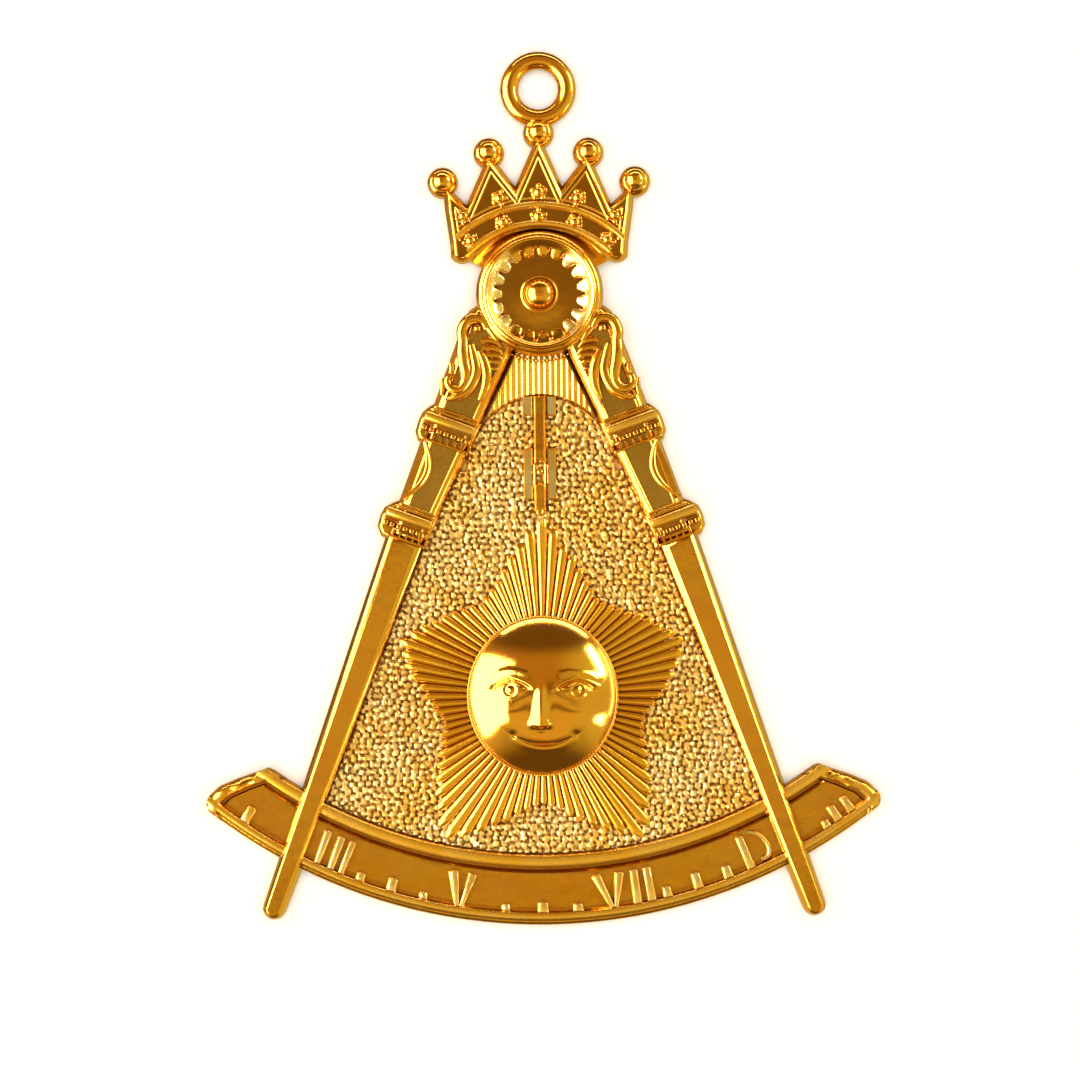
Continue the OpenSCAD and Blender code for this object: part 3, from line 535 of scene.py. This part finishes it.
def collar(bm, start, reach):
    s = legSizes
    long, out = s["collarL"], s["shankOut"]
    outer = [(out + (reach - out) * e, -start - long * k) for k, e in s["collarEdge"]]
    outline = [(-legIn(start), -start), (-legIn(start + long), -start - long)] + outer[::-1]
    plate(bm, outline, 0, 1.1, [(0.08, 0.45), (0.16, 0.35), (0.16, 0.16), (0.1, 0.02)])
    inner, side = -legIn(start + long / 2) + 0.3, reach - 0.42

    def across(u, low, high, r, z, flat=1.0, ends=0.25, paint=0):
        rows = [(low, -start - u, z, r * 0.55), (low + ends * 0.4, -start - u, z, r * 0.9),
                (low + ends, -start - u, z, r), (high - ends, -start - u, z, r),
                (high - ends * 0.4, -start - u, z, r * 0.9), (high, -start - u, z, r * 0.55)]
        before = len(bm.faces)
        bar(bm, rows, 14, flat)
        bm.faces.ensure_lookup_table()
        for f in bm.faces[before:]:
            f.material_index = paint

    across(0.18, inner + 0.05, out - 0.2, 0.15, 2.62)
    across(0.5, inner + 0.02, out, 0.18, 2.66)
    across(1.28, inner, side, 0.62, 2.4, 1.0, 0.34, 1)
    across(2.0, inner + 0.05, side - 0.05, 0.1, 2.5)
    count = 7
    pitch = (side - 0.1 - inner) / count
    for k in range(count):
        x, y, w = inner + 0.05 + pitch * (k + 0.5), -start - 2.4, pitch * 0.4
        plate(bm, [(x - w, y - 0.27), (x + w, y - 0.27), (x + w, y + 0.27), (x - w, y + 0.27)],
              1.9, 2.68, [(0.08, 0.16), (0.06, 0.04)])
    for k in range(count):
        x, y, w = inner + pitch * k, -start - 3.04, pitch * 0.2
        if x + w < out + 0.2:
            plate(bm, [(x - w, y - 0.36), (x + w, y - 0.36), (x + w, y + 0.28), (x - w, y + 0.28)],
                  1.9, 2.8, [(0.06, 0.08)])
    across(3.46, inner + 0.05, out + 0.05, 0.17, 2.6)


def leg(side):
    s = legSizes
    bm = bmesh.new()
    out, knee = s["shankOut"], s["knee"]
    shank = [(-s["shankIn"], -5.3), (-s["blade"] / 2, -knee), (s["blade"] / 2, -knee), (out, -26),
             (out, -4.6), (1.85, -3.9), (1.35, -3.2), (0.7, -2.8), (0.0, -2.75), (-0.8, -3.1)]
    plate(bm, shank, 0, 1.0, [(0.12, 0.4), (0.2, 0.5), (0.16, 0.44), (0.5, 0.34), (0.04, 0),
                              (0.1, -0.12), (0.05, 0)], 2)
    r, tip = s["blade"] / 2, s["tip"] / 2
    blade = [(-r, -knee + 1)]
    blade += [(-r * math.cos(math.radians(15 * k)), -s["long"] + tip - r * math.sin(math.radians(15 * k)))
              for k in range(13)]
    blade.append((r, -knee + 1))
    made = len(bm.verts)
    plate(bm, blade, 0, 1.0, [(0.14, 0.36), (0.2, 0.3), (0.1, 0.66), (0.56, 0.4), (0.05, 0.02),
                              (0.05, 0)])
    bm.verts.ensure_lookup_table()
    for v in bm.verts[made:]:
        u = -v.co.y
        v.co.x *= lerp(1, tip / r, clamp((u - knee) / (s["long"] - tip - knee)))
        if u > s["long"] - tip:
            v.co.y = -(s["long"] - tip) - (u - s["long"] + tip) * tip / r
    for start, reach in s["collars"]:
        collar(bm, start, reach)
    # the double ridge around the hollow beside the shaft's panel
    bow = [(1.5, -17.7), (0.6, -18.9), (0.1, -20.2), (0.25, -21.5), (0.9, -22.7), (1.7, -23.7)]
    plate(bm, bow + [(1.72, -20.6)], 2.3, 2.58, [(0.05, 0)])
    for shift, thick in ((0, 0.19), (0.36, 0.12)):
        bar(bm, smoothPath([(x + shift * (2 - x) / 1.6, y, 2.6, thick) for x, y in bow], 5), 8)
    seat = (Matrix.Rotation(math.radians(s["angle"]), 4, "Z")
            @ Matrix.Translation((s["offset"], 0, 0)))
    bmesh.ops.transform(bm, matrix=seat, verts=bm.verts)
    for name, rows in scrollWork.items():
        lift = 2.6 if name.startswith(("shell", "curl", "lip")) else 2.68
        bar(bm, smoothPath([(x, y, lift, q * 1.22) for x, y, q in rows], 5), 12, 0.85)
    turned(bm, [(0.42 * math.cos(a), 2.72 + 0.42 * math.sin(a))
                for a in [math.radians(k) for k in range(-90, 91, 15)]], (6.2, -3.45), 20)
    if side < 0:
        bmesh.ops.scale(bm, vec=(-1, 1, 1), verts=bm.verts)
    names = ("rightLeg", "right_leg") if side > 0 else ("leftLeg", "left_leg")
    finishPiece(names[0], bm, [polished, satin, olive], names[1])


arcSizes = {
    "drop": 9, "r": 53.8, "wide": 7.1, "angle": 39.2,
    "rim": [(53.8, 0.95), (53.76, 1.2), (53.66, 1.42), (53.5, 1.58), (53.38, 1.6), (53.31, 1.8),
            (53.2, 2.02), (53.04, 2.12), (52.84, 2.14), (52.64, 2.1), (52.5, 1.98), (52.42, 1.75),
            (52.34, 1.6)],
    "lip": [(48.6, 1.54), (48.45, 1.38), (48.28, 1.12), (48.04, 1.1), (47.93, 1.75), (47.86, 2.02),
            (47.72, 2.1), (47.4, 2.14), (47.1, 2.15), (46.95, 2.1), (46.82, 1.94), (46.72, 1.6)],
    "wing": [(0, 0.893), (0.02, 0.915), (0.4, 0.97), (0.65, 0.998), (0.82, 1.002), (0.9, 0.998),
             (0.95, 0.99), (0.98, 0.981), (1, 0.968)],
    "edgeCap": [(53.31, 2.14), (53.38, 2.1), (53.5, 2.0), (53.66, 1.8), (53.76, 1.5), (53.8, 1.2)],
    "endRim": [(0, 1.2), (0.1, 1.55), (0.3, 1.9), (0.7, 2.12), (1.05, 2.1), (1.25, 1.95), (1.33, 1.6),
               (1.42, 1.25), (1.56, 1.25), (1.75, 1.55)],
    "top": 48.95, "foot": 52.55,
    # a stroke's turn at its top and at its foot, and its width at both
    "numerals": [(-25.8, -25.5, 0.7, 0.62), (-24.1, -23.9, 0.72, 0.7), (-22.7, -22.7, 0.7, 0.62),
                 (-10.6, -9.5, 0.95, 0.5), (-8.2, -9.15, 0.82, 0.45), (5.9, 7.5, 0.88, 0.45),
                 (8.8, 7.8, 0.88, 0.45), (10.4, 10.26, 0.78, 0.82), (11.9, 11.8, 0.78, 0.88),
                 (23.25, 23.2, 0.74, 0.8)],
    "hook": [(24.35, 49.0), (25.2, 49.5), (25.75, 50.4), (25.85, 51.3), (25.4, 52.0), (24.5, 52.05)],
    # a tick's turn, length and width
    "ticks": [(-34.6, 1.86, 0.85), (-20.5, 1.0, 0.8), (-16.95, 1.5, 0.85), (-0.12, 1.25, 0.95),
              (3.72, 0.95, 0.9), (13.6, 1.25, 0.8), (17.1, 1.75, 0.8), (20.55, 1.4, 0.8),
              (32.6, 0.93, 0.7), (34.0, 1.86, 0.8), (35.75, 1.86, 0.8)],
    "lumps": [-13.35, -4.2],
}


def arcSpot(r, turn):
    a = math.radians(turn)
    return r * math.sin(a), -arcSizes["drop"] - r * math.cos(a)


def figure(bm, top, foot, wTop, wMid, wFoot, high):
    # a raised stroke from its top to its foot, with soft shoulders
    p, q = Vector(top), Vector(foot)
    way = (q - p).normalized()
    side = Vector((way.y, -way.x))
    soft = min(0.3, 0.16 / (q - p).length)
    rows = [(0, wTop * 0.5), (soft, wTop), (0.55, wMid), (1, wFoot)]
    left = [tuple(p.lerp(q, t) + side * w / 2) for t, w in rows]
    right = [tuple(p.lerp(q, t) - side * w / 2) for t, w in rows]
    made = len(bm.faces)
    plate(bm, left + right[::-1], 1.4, 1.7, [(0.07, high * 0.4), (0.08, high * 0.25), (0.03, 0.02)])
    bm.faces.ensure_lookup_table()
    for f in bm.faces[made:]:
        f.material_index = 2


def arcScale():
    s = arcSizes
    bm = bmesh.new()
    rows = s["rim"] + [(lerp(52.2, 48.7, k / 10), 1.55) for k in range(11)] + s["lip"]
    inner = s["r"] - s["wide"]
    edge = [0, 0.08, 0.2, 0.45, 0.75, 1.05, 1.25, 1.33, 1.42, 1.56, 1.75]
    count = 380

    def place(c, t):
        r, z = rows[round(t * (len(rows) - 1))]
        end = s["angle"] * along(s["wing"], clamp((r - inner) / s["wide"]))
        k = round(c * count)
        if k <= 10 or k >= count - 10:
            away = edge[min(k, count - k)]
        else:
            away = edge[-1]
        reach = end - math.degrees(away / r)
        turn = lerp(-reach, reach, clamp((k - 10) / (count - 20)))
        if k <= 10 or k >= count - 10:
            turn = -reach if k <= 10 else reach
            rim = along(s["endRim"], away)
            if 0.15 < away < 1.3:
                rim += 0.3 * noise.noise(Vector((turn, r * 1.1, away))) * ease(52.6, 51.6, r)
            if r > 53.3:
                z = lerp(min(max(rim, 1.9), along(s["edgeCap"], r)), z, ease(1.0, 1.6, away))
            else:
                z = rim if z < 1.7 else max(rim, z)
        x, y = arcSpot(r, turn)
        return x, y, z

    sheet(bm, count, len(rows) - 1, place, 0)
    for v in bm.verts:
        if v.co.z > 1 and (v.co.x or v.co.y):
            spot = Vector((v.co.x * 0.35, v.co.y * 0.35, 3))
            v.co.z += 0.03 * noise.noise(spot)
    for f in bm.faces:
        f.material_index = 1 if f.calc_center_median().z > 1.99 else 0
    for head, base, wTop, wFoot in s["numerals"]:
        figure(bm, arcSpot(s["top"], head), arcSpot(s["foot"], base), wTop + 0.16,
               (wTop + wFoot) / 2 + 0.14, wFoot + 0.12, 0.7)
    for turn, long, wide in s["ticks"]:
        figure(bm, arcSpot(s["foot"] - long, turn), arcSpot(s["foot"], turn), wide + 0.14,
               wide + 0.18, wide + 0.26, 0.7)
    made = len(bm.faces)
    bar(bm, smoothPath([(*arcSpot(r, a), 1.78, 0.22) for a, r in s["hook"]], 5), 10)
    for turn in s["lumps"]:
        turned(bm, [(0.46 * math.cos(a), 1.7 + 0.42 * math.sin(a))
                    for a in [math.radians(k) for k in range(-90, 91, 15)]], arcSpot(52.1, turn), 18)
    bm.faces.ensure_lookup_table()
    for f in bm.faces[made:]:
        f.material_index = 2
    finishPiece("arcScale", bm, [castGilt, satin, figureAndHighlightGilt], "arc_scale")


fieldSizes = {"thick": 1.2, "ledge": 0.7, "archR": 7.5, "archDrop": 10.1, "pitch": 0.72,
              "pebble": 0.5, "reed": 0.56, "reedH": 0.11, "arcIn": 46.7}


def legEdge(y):
    # inner edge of a leg at a height
    best = 0
    for u in [k * 0.5 for k in range(0, 140)]:
        x0, y0 = legSpot(u, -legIn(u))
        x1, y1 = legSpot(u + 0.5, -legIn(u + 0.5))
        if y1 <= y <= y0:
            return lerp(x0, x1, (y0 - y) / (y0 - y1))
    return best


def fieldPlate():
    s = fieldSizes
    bm = bmesh.new()
    edges = {round(y, 1): legEdge(y) for y in [-k * 0.1 for k in range(40, 600)]}

    def edgeAt(y):
        return edges.get(round(y, 1), 0)

    # rows of pebbles, each a little out of place
    spots, y = [], -4.0
    row = 0
    while y > -57:
        x = -24 + (row % 2) * s["pitch"] / 2
        while x < 24:
            spots.append((x + random.uniform(-0.25, 0.25), y + random.uniform(-0.2, 0.2),
                          random.uniform(0.85, 1.1)))
            x += s["pitch"] * random.uniform(0.94, 1.06)
        y -= s["pitch"] * 0.86
        row += 1
    tree = kdtree.KDTree(len(spots))
    for i, (x, y, k) in enumerate(spots):
        tree.insert((x, y, 0), i)
    tree.balance()

    def pebbleAt(x, y):
        (_, i, d), (_, _, e), (_, _, f) = tree.find_n((x, y, 0), 3)
        lump = noise.noise(Vector((x * 1.3, y * 1.3, 0.5))) * 0.5 + 0.5
        seam, pit = ease(0.0, 0.14, e - d), ease(0.1, 0.34, f - d)
        dome = 1 - ease(0.0, 0.5, d) * 0.6
        return s["pebble"] * spots[i][2] * (0.2 * seam + 0.6 * pit + 0.24 * dome) * (0.78 + 0.4 * lump)

    def place(c, t):
        y = lerp(-9.5, -56.2, t)
        x = lerp(-22.5, 22.5, c)
        fade = ease(edgeAt(y) + 0.45, edgeAt(y) + 0.2, abs(x))
        fade *= ease(s["arcIn"] + 0.1, s["arcIn"] - 0.15, math.hypot(x, y + 9))
        if y > -17.6:  # a sunk line along the foot of the reeds
            fade *= ease(7.56, 7.2, math.hypot(x, y + 17.6))
        z = s["thick"] - 0.04
        if fade > 0:
            z += pebbleAt(x, y) * fade
        return x, y, z

    def keep(p):
        if abs(p.x) > edgeAt(p.y) + s["ledge"] or math.hypot(p.x, p.y + 9) > s["arcIn"] + s["ledge"]:
            return False
        d = math.hypot(p.x, p.y + 39.9)
        return d > 9.2

    sheet(bm, 340, 350, place, 0.9, keep)
    under = [(-x, y) for x, y in [legSpot(u, -legIn(u) + s["ledge"]) for u in (52, 28, 2.6)]]
    under = [(0, -56.4)] + [arcSpot(47.4, -a) for a in (5, 10, 15, 20, 24.6)] + under[1:]
    full = under[::-1] + [(-x, y) for x, y in under[1:]]
    plate(bm, full[::-1], 0, 1.0)
    finishPiece("fieldPlate", bm, [pebbled], "field_plate")


def headBeading():
    # fine beads under the head's rim, over the reeds
    bm = bmesh.new()
    for k in range(-13, 14):
        turn = math.radians(k * 3.1)
        x, y = 6.62 * math.sin(turn), -6.62 * math.cos(turn)
        turned(bm, [(0.15 * math.cos(b), 1.85 + 0.15 * math.sin(b))
                    for b in [math.radians(q) for q in range(-90, 91, 30)]], (x, y), 8)
    finishPiece("headBeading", bm, [polished], None)


def reededBand():
    s = fieldSizes
    bm = bmesh.new()
    low = s["archDrop"] + s["archR"]

    def place(c, t):
        x = lerp(-5.4, 5.4, c)
        bottom = -low + math.sqrt(max(0.0, s["archR"] ** 2 - x * x)) - 0.05
        y = lerp(-4.6, bottom, t)
        wave = 0.5 + 0.5 * math.cos(2 * math.pi * x / s["reed"])
        z = s["thick"] + 0.38 + s["reedH"] * wave
        z -= 0.3 * ease(0.16, 0.0, y - bottom)
        return x, y, z

    sheet(bm, 270, 24, place, s["thick"] - 0.2)
    a, b = legSpot(6, -legIn(6) - 0.04), legSpot(20, -legIn(20) - 0.04)
    way = Vector((b[0] - a[0], b[1] - a[1], 0)).normalized()
    for side in (1, -1):
        cut = bmesh.ops.bisect_plane(bm, geom=bm.verts[:] + bm.edges[:] + bm.faces[:], dist=1e-5,
                                     plane_co=(a[0] * side, a[1], 0),
                                     plane_no=(-way.y * side, way.x, 0), clear_outer=True)
        rim = [g for g in cut["geom_cut"] if isinstance(g, bmesh.types.BMEdge)]
        bmesh.ops.triangle_fill(bm, edges=rim, use_beauty=False, use_dissolve=False)
    finishPiece("reededBand", bm, [satin], None)


linkSizes = {"z": 1.25, "wide": 1.2, "high": 0.7, "side": 0.9, "blockH": 0.5, "run": 11.87,
             "top": 10.1, "bars": [(0.0, 0.56), (0.8, 0.97)], "blocks": [(0.0, 0.17), (0.44, 0.87)],
             "ball": 0.64}


def starLink():
    s = linkSizes
    bm = bmesh.new()
    y = lambda share: -s["top"] - share * s["run"]

    def box(x0, x1, y0, y1, low, high, slope, paint=0):
        plate(bm, [(x0, y1), (x1, y1), (x1, y0), (x0, y0)], low, high, slope, paint=paint)

    w, z, mid = s["wide"] / 2, s["z"], -0.1
    box(mid - w, mid + w, y(0), y(0.97), z, z + 0.2, [(0.08, 0.1)])
    chevron = [(mid - w, y(0)), (mid - w, y(0.58)), (mid, y(0.54)), (mid + w, y(0.58)), (mid + w, y(0))]
    round_ = [(mid + w * math.cos(a), y(0.76) + 0.4 * math.sin(a))
              for a in [math.radians(k) for k in range(0, 181, 20)]]
    for points in (chevron, round_ + [(mid - w, y(0.97)), (mid + w, y(0.97))]):
        plate(bm, points, z, z + 0.62, [(0.06, 0.1), (0.16, 0.16), (0.03, 0.0)], 2)
    for a, c in s["blocks"]:
        for x0, x1 in ((mid - 1.62, mid - 0.72), (mid + 0.72, mid + 1.62)):
            box(x0, x1, y(a), y(c), z - 0.1, z + s["blockH"], [(0.1, 0.1), (0.04, 0.0)], 3)
    # the recess with its ball between two thin rails, and the eye at the foot
    for side in (-1, 1):
        x = mid + side * (w - 0.08)
        bar(bm, [(x, y(0.57), z + 0.4, 0.14), (x, y(0.78), z + 0.4, 0.14)], 8)
    turned(bm, [(0.36 * math.cos(a), z + 0.46 + 0.36 * math.sin(a))
                for a in [math.radians(k) for k in range(-60, 91, 10)]], (mid, y(s["ball"])), 24)
    turned(bm, [(0.27 + 0.12 * math.cos(a), z + 0.85 + 0.1 * math.sin(a))
                for a in [math.radians(k) for k in range(0, 360, 30)]], (mid, y(0.975)), 24, closed=True)
    finishPiece("starLink", bm, [polished, satin, mirrorGilt, sandGilt], "star_link")


starSizes = {
    "drop": 39.9, "r": 17.93, "z": 1.25, "rays": 84, "thick": 1.2, "tipThick": 0.5, "groove": 0.42,
    "rows": [(0, 1), (32, 0.62), (69.5, 0.86), (105, 0.58), (145, 0.98), (180, 0.6)],
    "foot": 7.5, "oval": 1.06,
}


def starReach(turn):
    s = starSizes
    a = turn % 360
    a = 360 - a if a > 180 else a
    j = max(k for k in range(len(s["rows"]) - 1) if a >= s["rows"][k][0])
    tip, valley = (s["rows"][j], s["rows"][j + 1]) if j % 2 == 0 else (s["rows"][j + 1], s["rows"][j])
    share = clamp((a - tip[0]) / (valley[0] - tip[0]))
    return s["r"] * (tip[1] + (valley[1] - tip[1]) * (1 - (1 - share) ** 1.5))


def rayStar():
    s = starSizes
    bm = bmesh.new()
    parts = 10
    across = s["rays"] * parts
    rows = [0, 0.0, 0.06, 0.15, 0.28, 0.42, 0.56, 0.7, 0.8, 0.88, 0.94, 0.98, 1.0]
    lengths = [starReach(360 * k / s["rays"]) * (1 + random.uniform(-0.012, 0.008))
               for k in range(s["rays"])]
    swells = [random.uniform(0.85, 1.1) for _ in range(s["rays"])]

    def place(c, t):
        i = round(c * across) % across
        j = round(t * (len(rows) - 1))
        ray = ((i + parts // 2) // parts) % s["rays"]
        q = ((i + parts // 2) % parts - parts / 2) / (parts / 2)
        a = 2 * math.pi * i / across
        foot = Vector((s["foot"] * math.sin(a), s["foot"] * s["oval"] * math.cos(a)))
        reach = lengths[ray]
        half = math.pi * reach / s["rays"]
        end = reach - half * 0.9 * (1 - math.sqrt(max(0.0, 1 - q * q)))
        tip = Vector((end * math.sin(a), end * math.cos(a)))
        if j == 0:
            return (foot.x * 0.9, foot.y * 0.9, s["z"] + s["thick"] - 0.2)
        share = rows[j]
        p = foot.lerp(tip, share)
        r = p.length
        ridge = s["thick"] + (s["tipThick"] - s["thick"]) * (r - s["foot"]) / (s["r"] - s["foot"])
        round_ = math.sqrt(max(0.0, 1 - (abs(q) ** 1.8)))
        z = s["z"] + ridge - s["groove"] * (1 - round_) * swells[ray]
        z -= 0.32 * ease(0.93, 1.0, share)
        return p.x, p.y, z

    sheet(bm, across, len(rows) - 1, place, s["z"])
    bmesh.ops.translate(bm, vec=(0, -s["drop"], 0), verts=bm.verts)
    finishPiece("rayStar", bm, [rayed], "ray_star")


sunSizes = {"r": 7.34, "z": 2.5, "dome": 2.9, "rim": 0.16}


def faceAt(x, y):
    # height of the sun's face over its dome: x to the right and y up from its centre
    def bump(d, w):
        return math.exp(-(d / w) ** 2)

    def ridge(points, w):
        # nearness to a broken line
        best = 9.0
        for (ax, ay), (bx, by) in zip(points, points[1:]):
            dx, dy = bx - ax, by - ay
            t = clamp(((x - ax) * dx + (y - ay) * dy) / (dx * dx + dy * dy))
            best = min(best, math.hypot(x - ax - dx * t, y - ay - dy * t))
        return bump(best, w)

    h = 0.0
    h += 0.1 * ridge([(-4.9, 2.0), (-4.2, 2.45), (-3.4, 2.62), (-2.4, 2.55), (-1.6, 2.3)], 0.3)
    h += 0.1 * ridge([(1.75, 2.3), (2.6, 2.45), (3.7, 2.35), (4.7, 2.1), (5.4, 1.75)], 0.3)
    for cx, cy, wide, high in ((-3.2, 0.75, 1.7, 0.95), (3.4, 0.68, 1.65, 0.9)):
        dx, dy = (x - cx) / wide, (y - cy) / high
        lens = math.hypot(dx, dy * (1 + 0.35 * abs(dx)))
        h -= 0.2 * bump(lens - 1.0, 0.2) * (1.4 if dy > 0 else 0.25)
        h += 0.08 * bump(lens - 1.3, 0.2) * ease(-0.2, 0.6, dy)
        h += 0.13 * bump(lens, 0.75)
        iris = math.hypot(x - cx, y - cy)
        h += 0.08 * bump(iris - 0.76, 0.17) - 0.07 * bump(iris - 0.46, 0.15) + 0.09 * bump(iris, 0.26)
    t = clamp((2.0 - y) / 4.7)
    wide = 0.36 + 0.34 * t
    below = max(0.0, -2.75 - y)
    above = max(0.0, y - 0.3)
    h += (0.14 + 0.6 * t ** 1.4) * bump(x + 0.2, wide) * bump(below, 0.3) * bump(above, 0.9)
    h -= 0.16 * bump(math.hypot((x + 0.2) * 0.7, (y + 3.2) * 1.4), 0.36)
    for side in (-1, 1):
        h += 0.12 * bump(math.hypot(x + 0.2 - side * 0.75, (y + 2.5) * 1.1), 0.36)
        h -= 0.1 * bump(math.hypot(x + 0.2 - side * 0.42, (y + 2.95) * 1.5), 0.3)
    smile = -4.7 + 0.095 * (x - 0.15) ** 2
    part = bump(x - 0.15, 2.6) ** 1.1 if abs(x - 0.15) < 4.2 else 0.0
    h -= 0.17 * bump(y - smile, 0.13) * part
    h += 0.05 * bump(y - smile - 0.5, 0.4) * part
    h += 0.14 * bump(y - smile + 0.5, 0.34) * bump(x - 0.15, 2.0)
    for side in (-1, 1):
        h -= 0.1 * bump(math.hypot(x - 0.15 - side * 3.05, y + 3.7), 0.35)
        h += 0.28 * bump(math.hypot(x - side * 3.9, y + 1.9), 1.7)
    return h


def sunFace():
    s = sunSizes
    oval = starSizes["oval"]
    bm = bmesh.new()
    outer = s["r"] + s["rim"]
    # fine beads around the rim
    for k in range(168):
        a = 2 * math.pi * k / 168
        x, y = (outer - 0.07) * math.sin(a), (outer - 0.07) * oval * math.cos(a)
        turned(bm, [(0.105 * math.cos(b), s["z"] + 0.22 + 0.14 * math.sin(b))
                    for b in [math.radians(q) for q in (-90, -45, 0, 45, 90)]], (x, y), 6)

    def place(c, t):
        u, v = 2 * c - 1, 2 * t - 1
        # square to round, so that the grid keeps even cells
        dx, dy = u * math.sqrt(1 - v * v / 2), v * math.sqrt(1 - u * u / 2)
        share = math.hypot(dx, dy)
        ring = 1 - (1 - share) ** 1.25 if share < 1 else 1.0
        grow = ring / share if share else 1
        x, y = dx * grow * s["r"], dy * grow * s["r"] * oval
        k = min(1.0, ring)
        cap = math.sqrt(1 - (0.8 * k) ** 2)
        z = 0.2 + (s["dome"] + 0.12) * (cap - 0.6) / 0.4
        z += faceAt(x, y) * max(0.0, 1 - k ** 7)
        return x, y, s["z"] + z

    sheet(bm, 236, 236, place, s["z"] + 0.05)
    rows = [(outer, s["z"]), (outer, s["z"] + 0.16), (outer - 0.06, s["z"] + 0.26),
            (outer - 0.16, s["z"] + 0.29), (outer - 0.28, s["z"] + 0.2), (outer - 0.3, s["z"])]
    made = len(bm.verts)
    turned(bm, rows, (0, 0), 180, closed=True)
    bm.verts.ensure_lookup_table()
    for v in bm.verts[made:]:
        v.co.y *= oval
    bmesh.ops.translate(bm, vec=(0, -starSizes["drop"], 0), verts=bm.verts)
    finishPiece("sunFace", bm, [mirrorGilt], "sun_face", 60)


suspensionRing()
crown()
crownWeb()
compassHead()
leg(1)
leg(-1)
arcScale()
fieldPlate()
reededBand()
headBeading()
starLink()
rayStar()
sunFace()


studio = {"distance": 300, "width": 108, "aimX": -0.15, "aimY": -5.15, "roll": -0.45,
          "midGlow": (0.70, 0.50, 0.13, 1), "nearGlow": (0.17, 0.085, 0.02, 1),
          "farGlow": (0.20, 0.12, 0.035, 1), "browGlow": (0.46, 0.25, 0.045, 1),
          "warmSide": (0.64, 0.53, 0.15, 1), "dimTop": (0.13, 0.075, 0.02, 1),
          "dimFoot": (0.09, 0.05, 0.015, 1)}


def studioLamp(name, place, size, power, colour, overhead=False):
    lamp = bpy.data.lights.new(name, "AREA")
    lamp.shape = "RECTANGLE"
    lamp.size, lamp.size_y = size
    lamp.energy, lamp.color = power, colour
    holder = bpy.data.objects.new(name, lamp)
    way = -Vector(place)
    holder.matrix_world = Matrix.Translation(place) @ way.to_track_quat("-Z", "Y").to_matrix().to_4x4()
    holder.visible_glossy, holder.visible_diffuse = not overhead, overhead
    bpy.context.scene.collection.objects.link(holder)


def makeStudio():
    s = studio
    bm = bmesh.new()
    bmesh.ops.create_grid(bm, x_segments=1, y_segments=1, size=1.5,
                          matrix=Matrix.Translation((0, 0, -0.00005)))
    mesh = bpy.data.meshes.new("floor")
    bm.to_mesh(mesh)
    bm.free()
    floor = bpy.data.objects.new("floor", mesh)
    bpy.context.scene.collection.objects.link(floor)
    pale = Finish("paleFloor")
    pale.put(Base_Color=(0.93, 0.93, 0.92, 1), Roughness=0.9)
    mesh.materials.append(pale.material)
    floor.visible_glossy = False

    world = bpy.data.worlds.new("studio")
    world.use_nodes = True
    room = Nodes(world.node_tree)
    way = room.node("TexCoord", output="Generated")
    x, y, _ = (room.node("SeparateXYZ", values={0: way}, output=k) for k in range(3))
    near = room.band(y, -0.104, -0.124) * room.band(y, -0.24, -0.18)
    glow = room.blend(near, s["midGlow"], s["nearGlow"])
    glow = room.blend(room.band(y, -0.05, 0.08), glow, s["farGlow"])
    glow = room.blend(room.band(y, 0.14, 0.24), glow, s["browGlow"])
    glow = room.blend(room.band(x, 0.1, 0.8), glow, s["warmSide"])
    glow = room.blend(room.band(y, 0.55, 0.76) * 0.94, glow, s["dimTop"])
    glow = room.blend(room.band(y, -0.6, -0.9) * 0.94, glow, s["dimFoot"])
    world.node_tree.links.new(glow.socket, world.node_tree.nodes["Background"].inputs[0])
    bpy.context.scene.world = world

    # the soft boxes show in the metal; the one overhead lights the floor evenly
    studioLamp("leftBox", (-0.42, -0.03, 0.20), (0.64, 0.58), 7.0, (1.0, 0.97, 0.94))
    studioLamp("topBox", (0.02, 0.52, 0.04), (0.9, 0.06), 1.0, (1.0, 0.96, 0.86))
    studioLamp("rightBox", (0.42, 0.2, 0.13), (0.24, 0.1), 0.9, (1.0, 0.96, 0.88))
    studioLamp("sideBox", (0.5, 0.06, 0.014), (0.5, 0.02), 0.14, (1.0, 0.96, 0.88))
    studioLamp("lowBox", (0.44, -0.2, 0.08), (0.08, 0.06), 0.16, (1.0, 0.95, 0.86))
    studioLamp("floorBox", (0, 0, 0.7), (0.9, 0.9), 7.4, (0.86, 0.92, 1), overhead=True)

    lens = bpy.data.cameras.new("camera")
    lens.sensor_width, lens.lens = 36, 36 * s["distance"] / s["width"]
    lens.clip_start, lens.clip_end = 0.01, 10
    camera = bpy.data.objects.new("camera", lens)
    camera.location = (s["aimX"] / 1000, s["aimY"] / 1000, s["distance"] / 1000)
    camera.rotation_euler = (0, 0, math.radians(s["roll"]))
    bpy.context.scene.collection.objects.link(camera)
    bpy.context.scene.camera = camera
    bpy.context.scene.view_settings.view_transform = "Standard"


makeStudio()
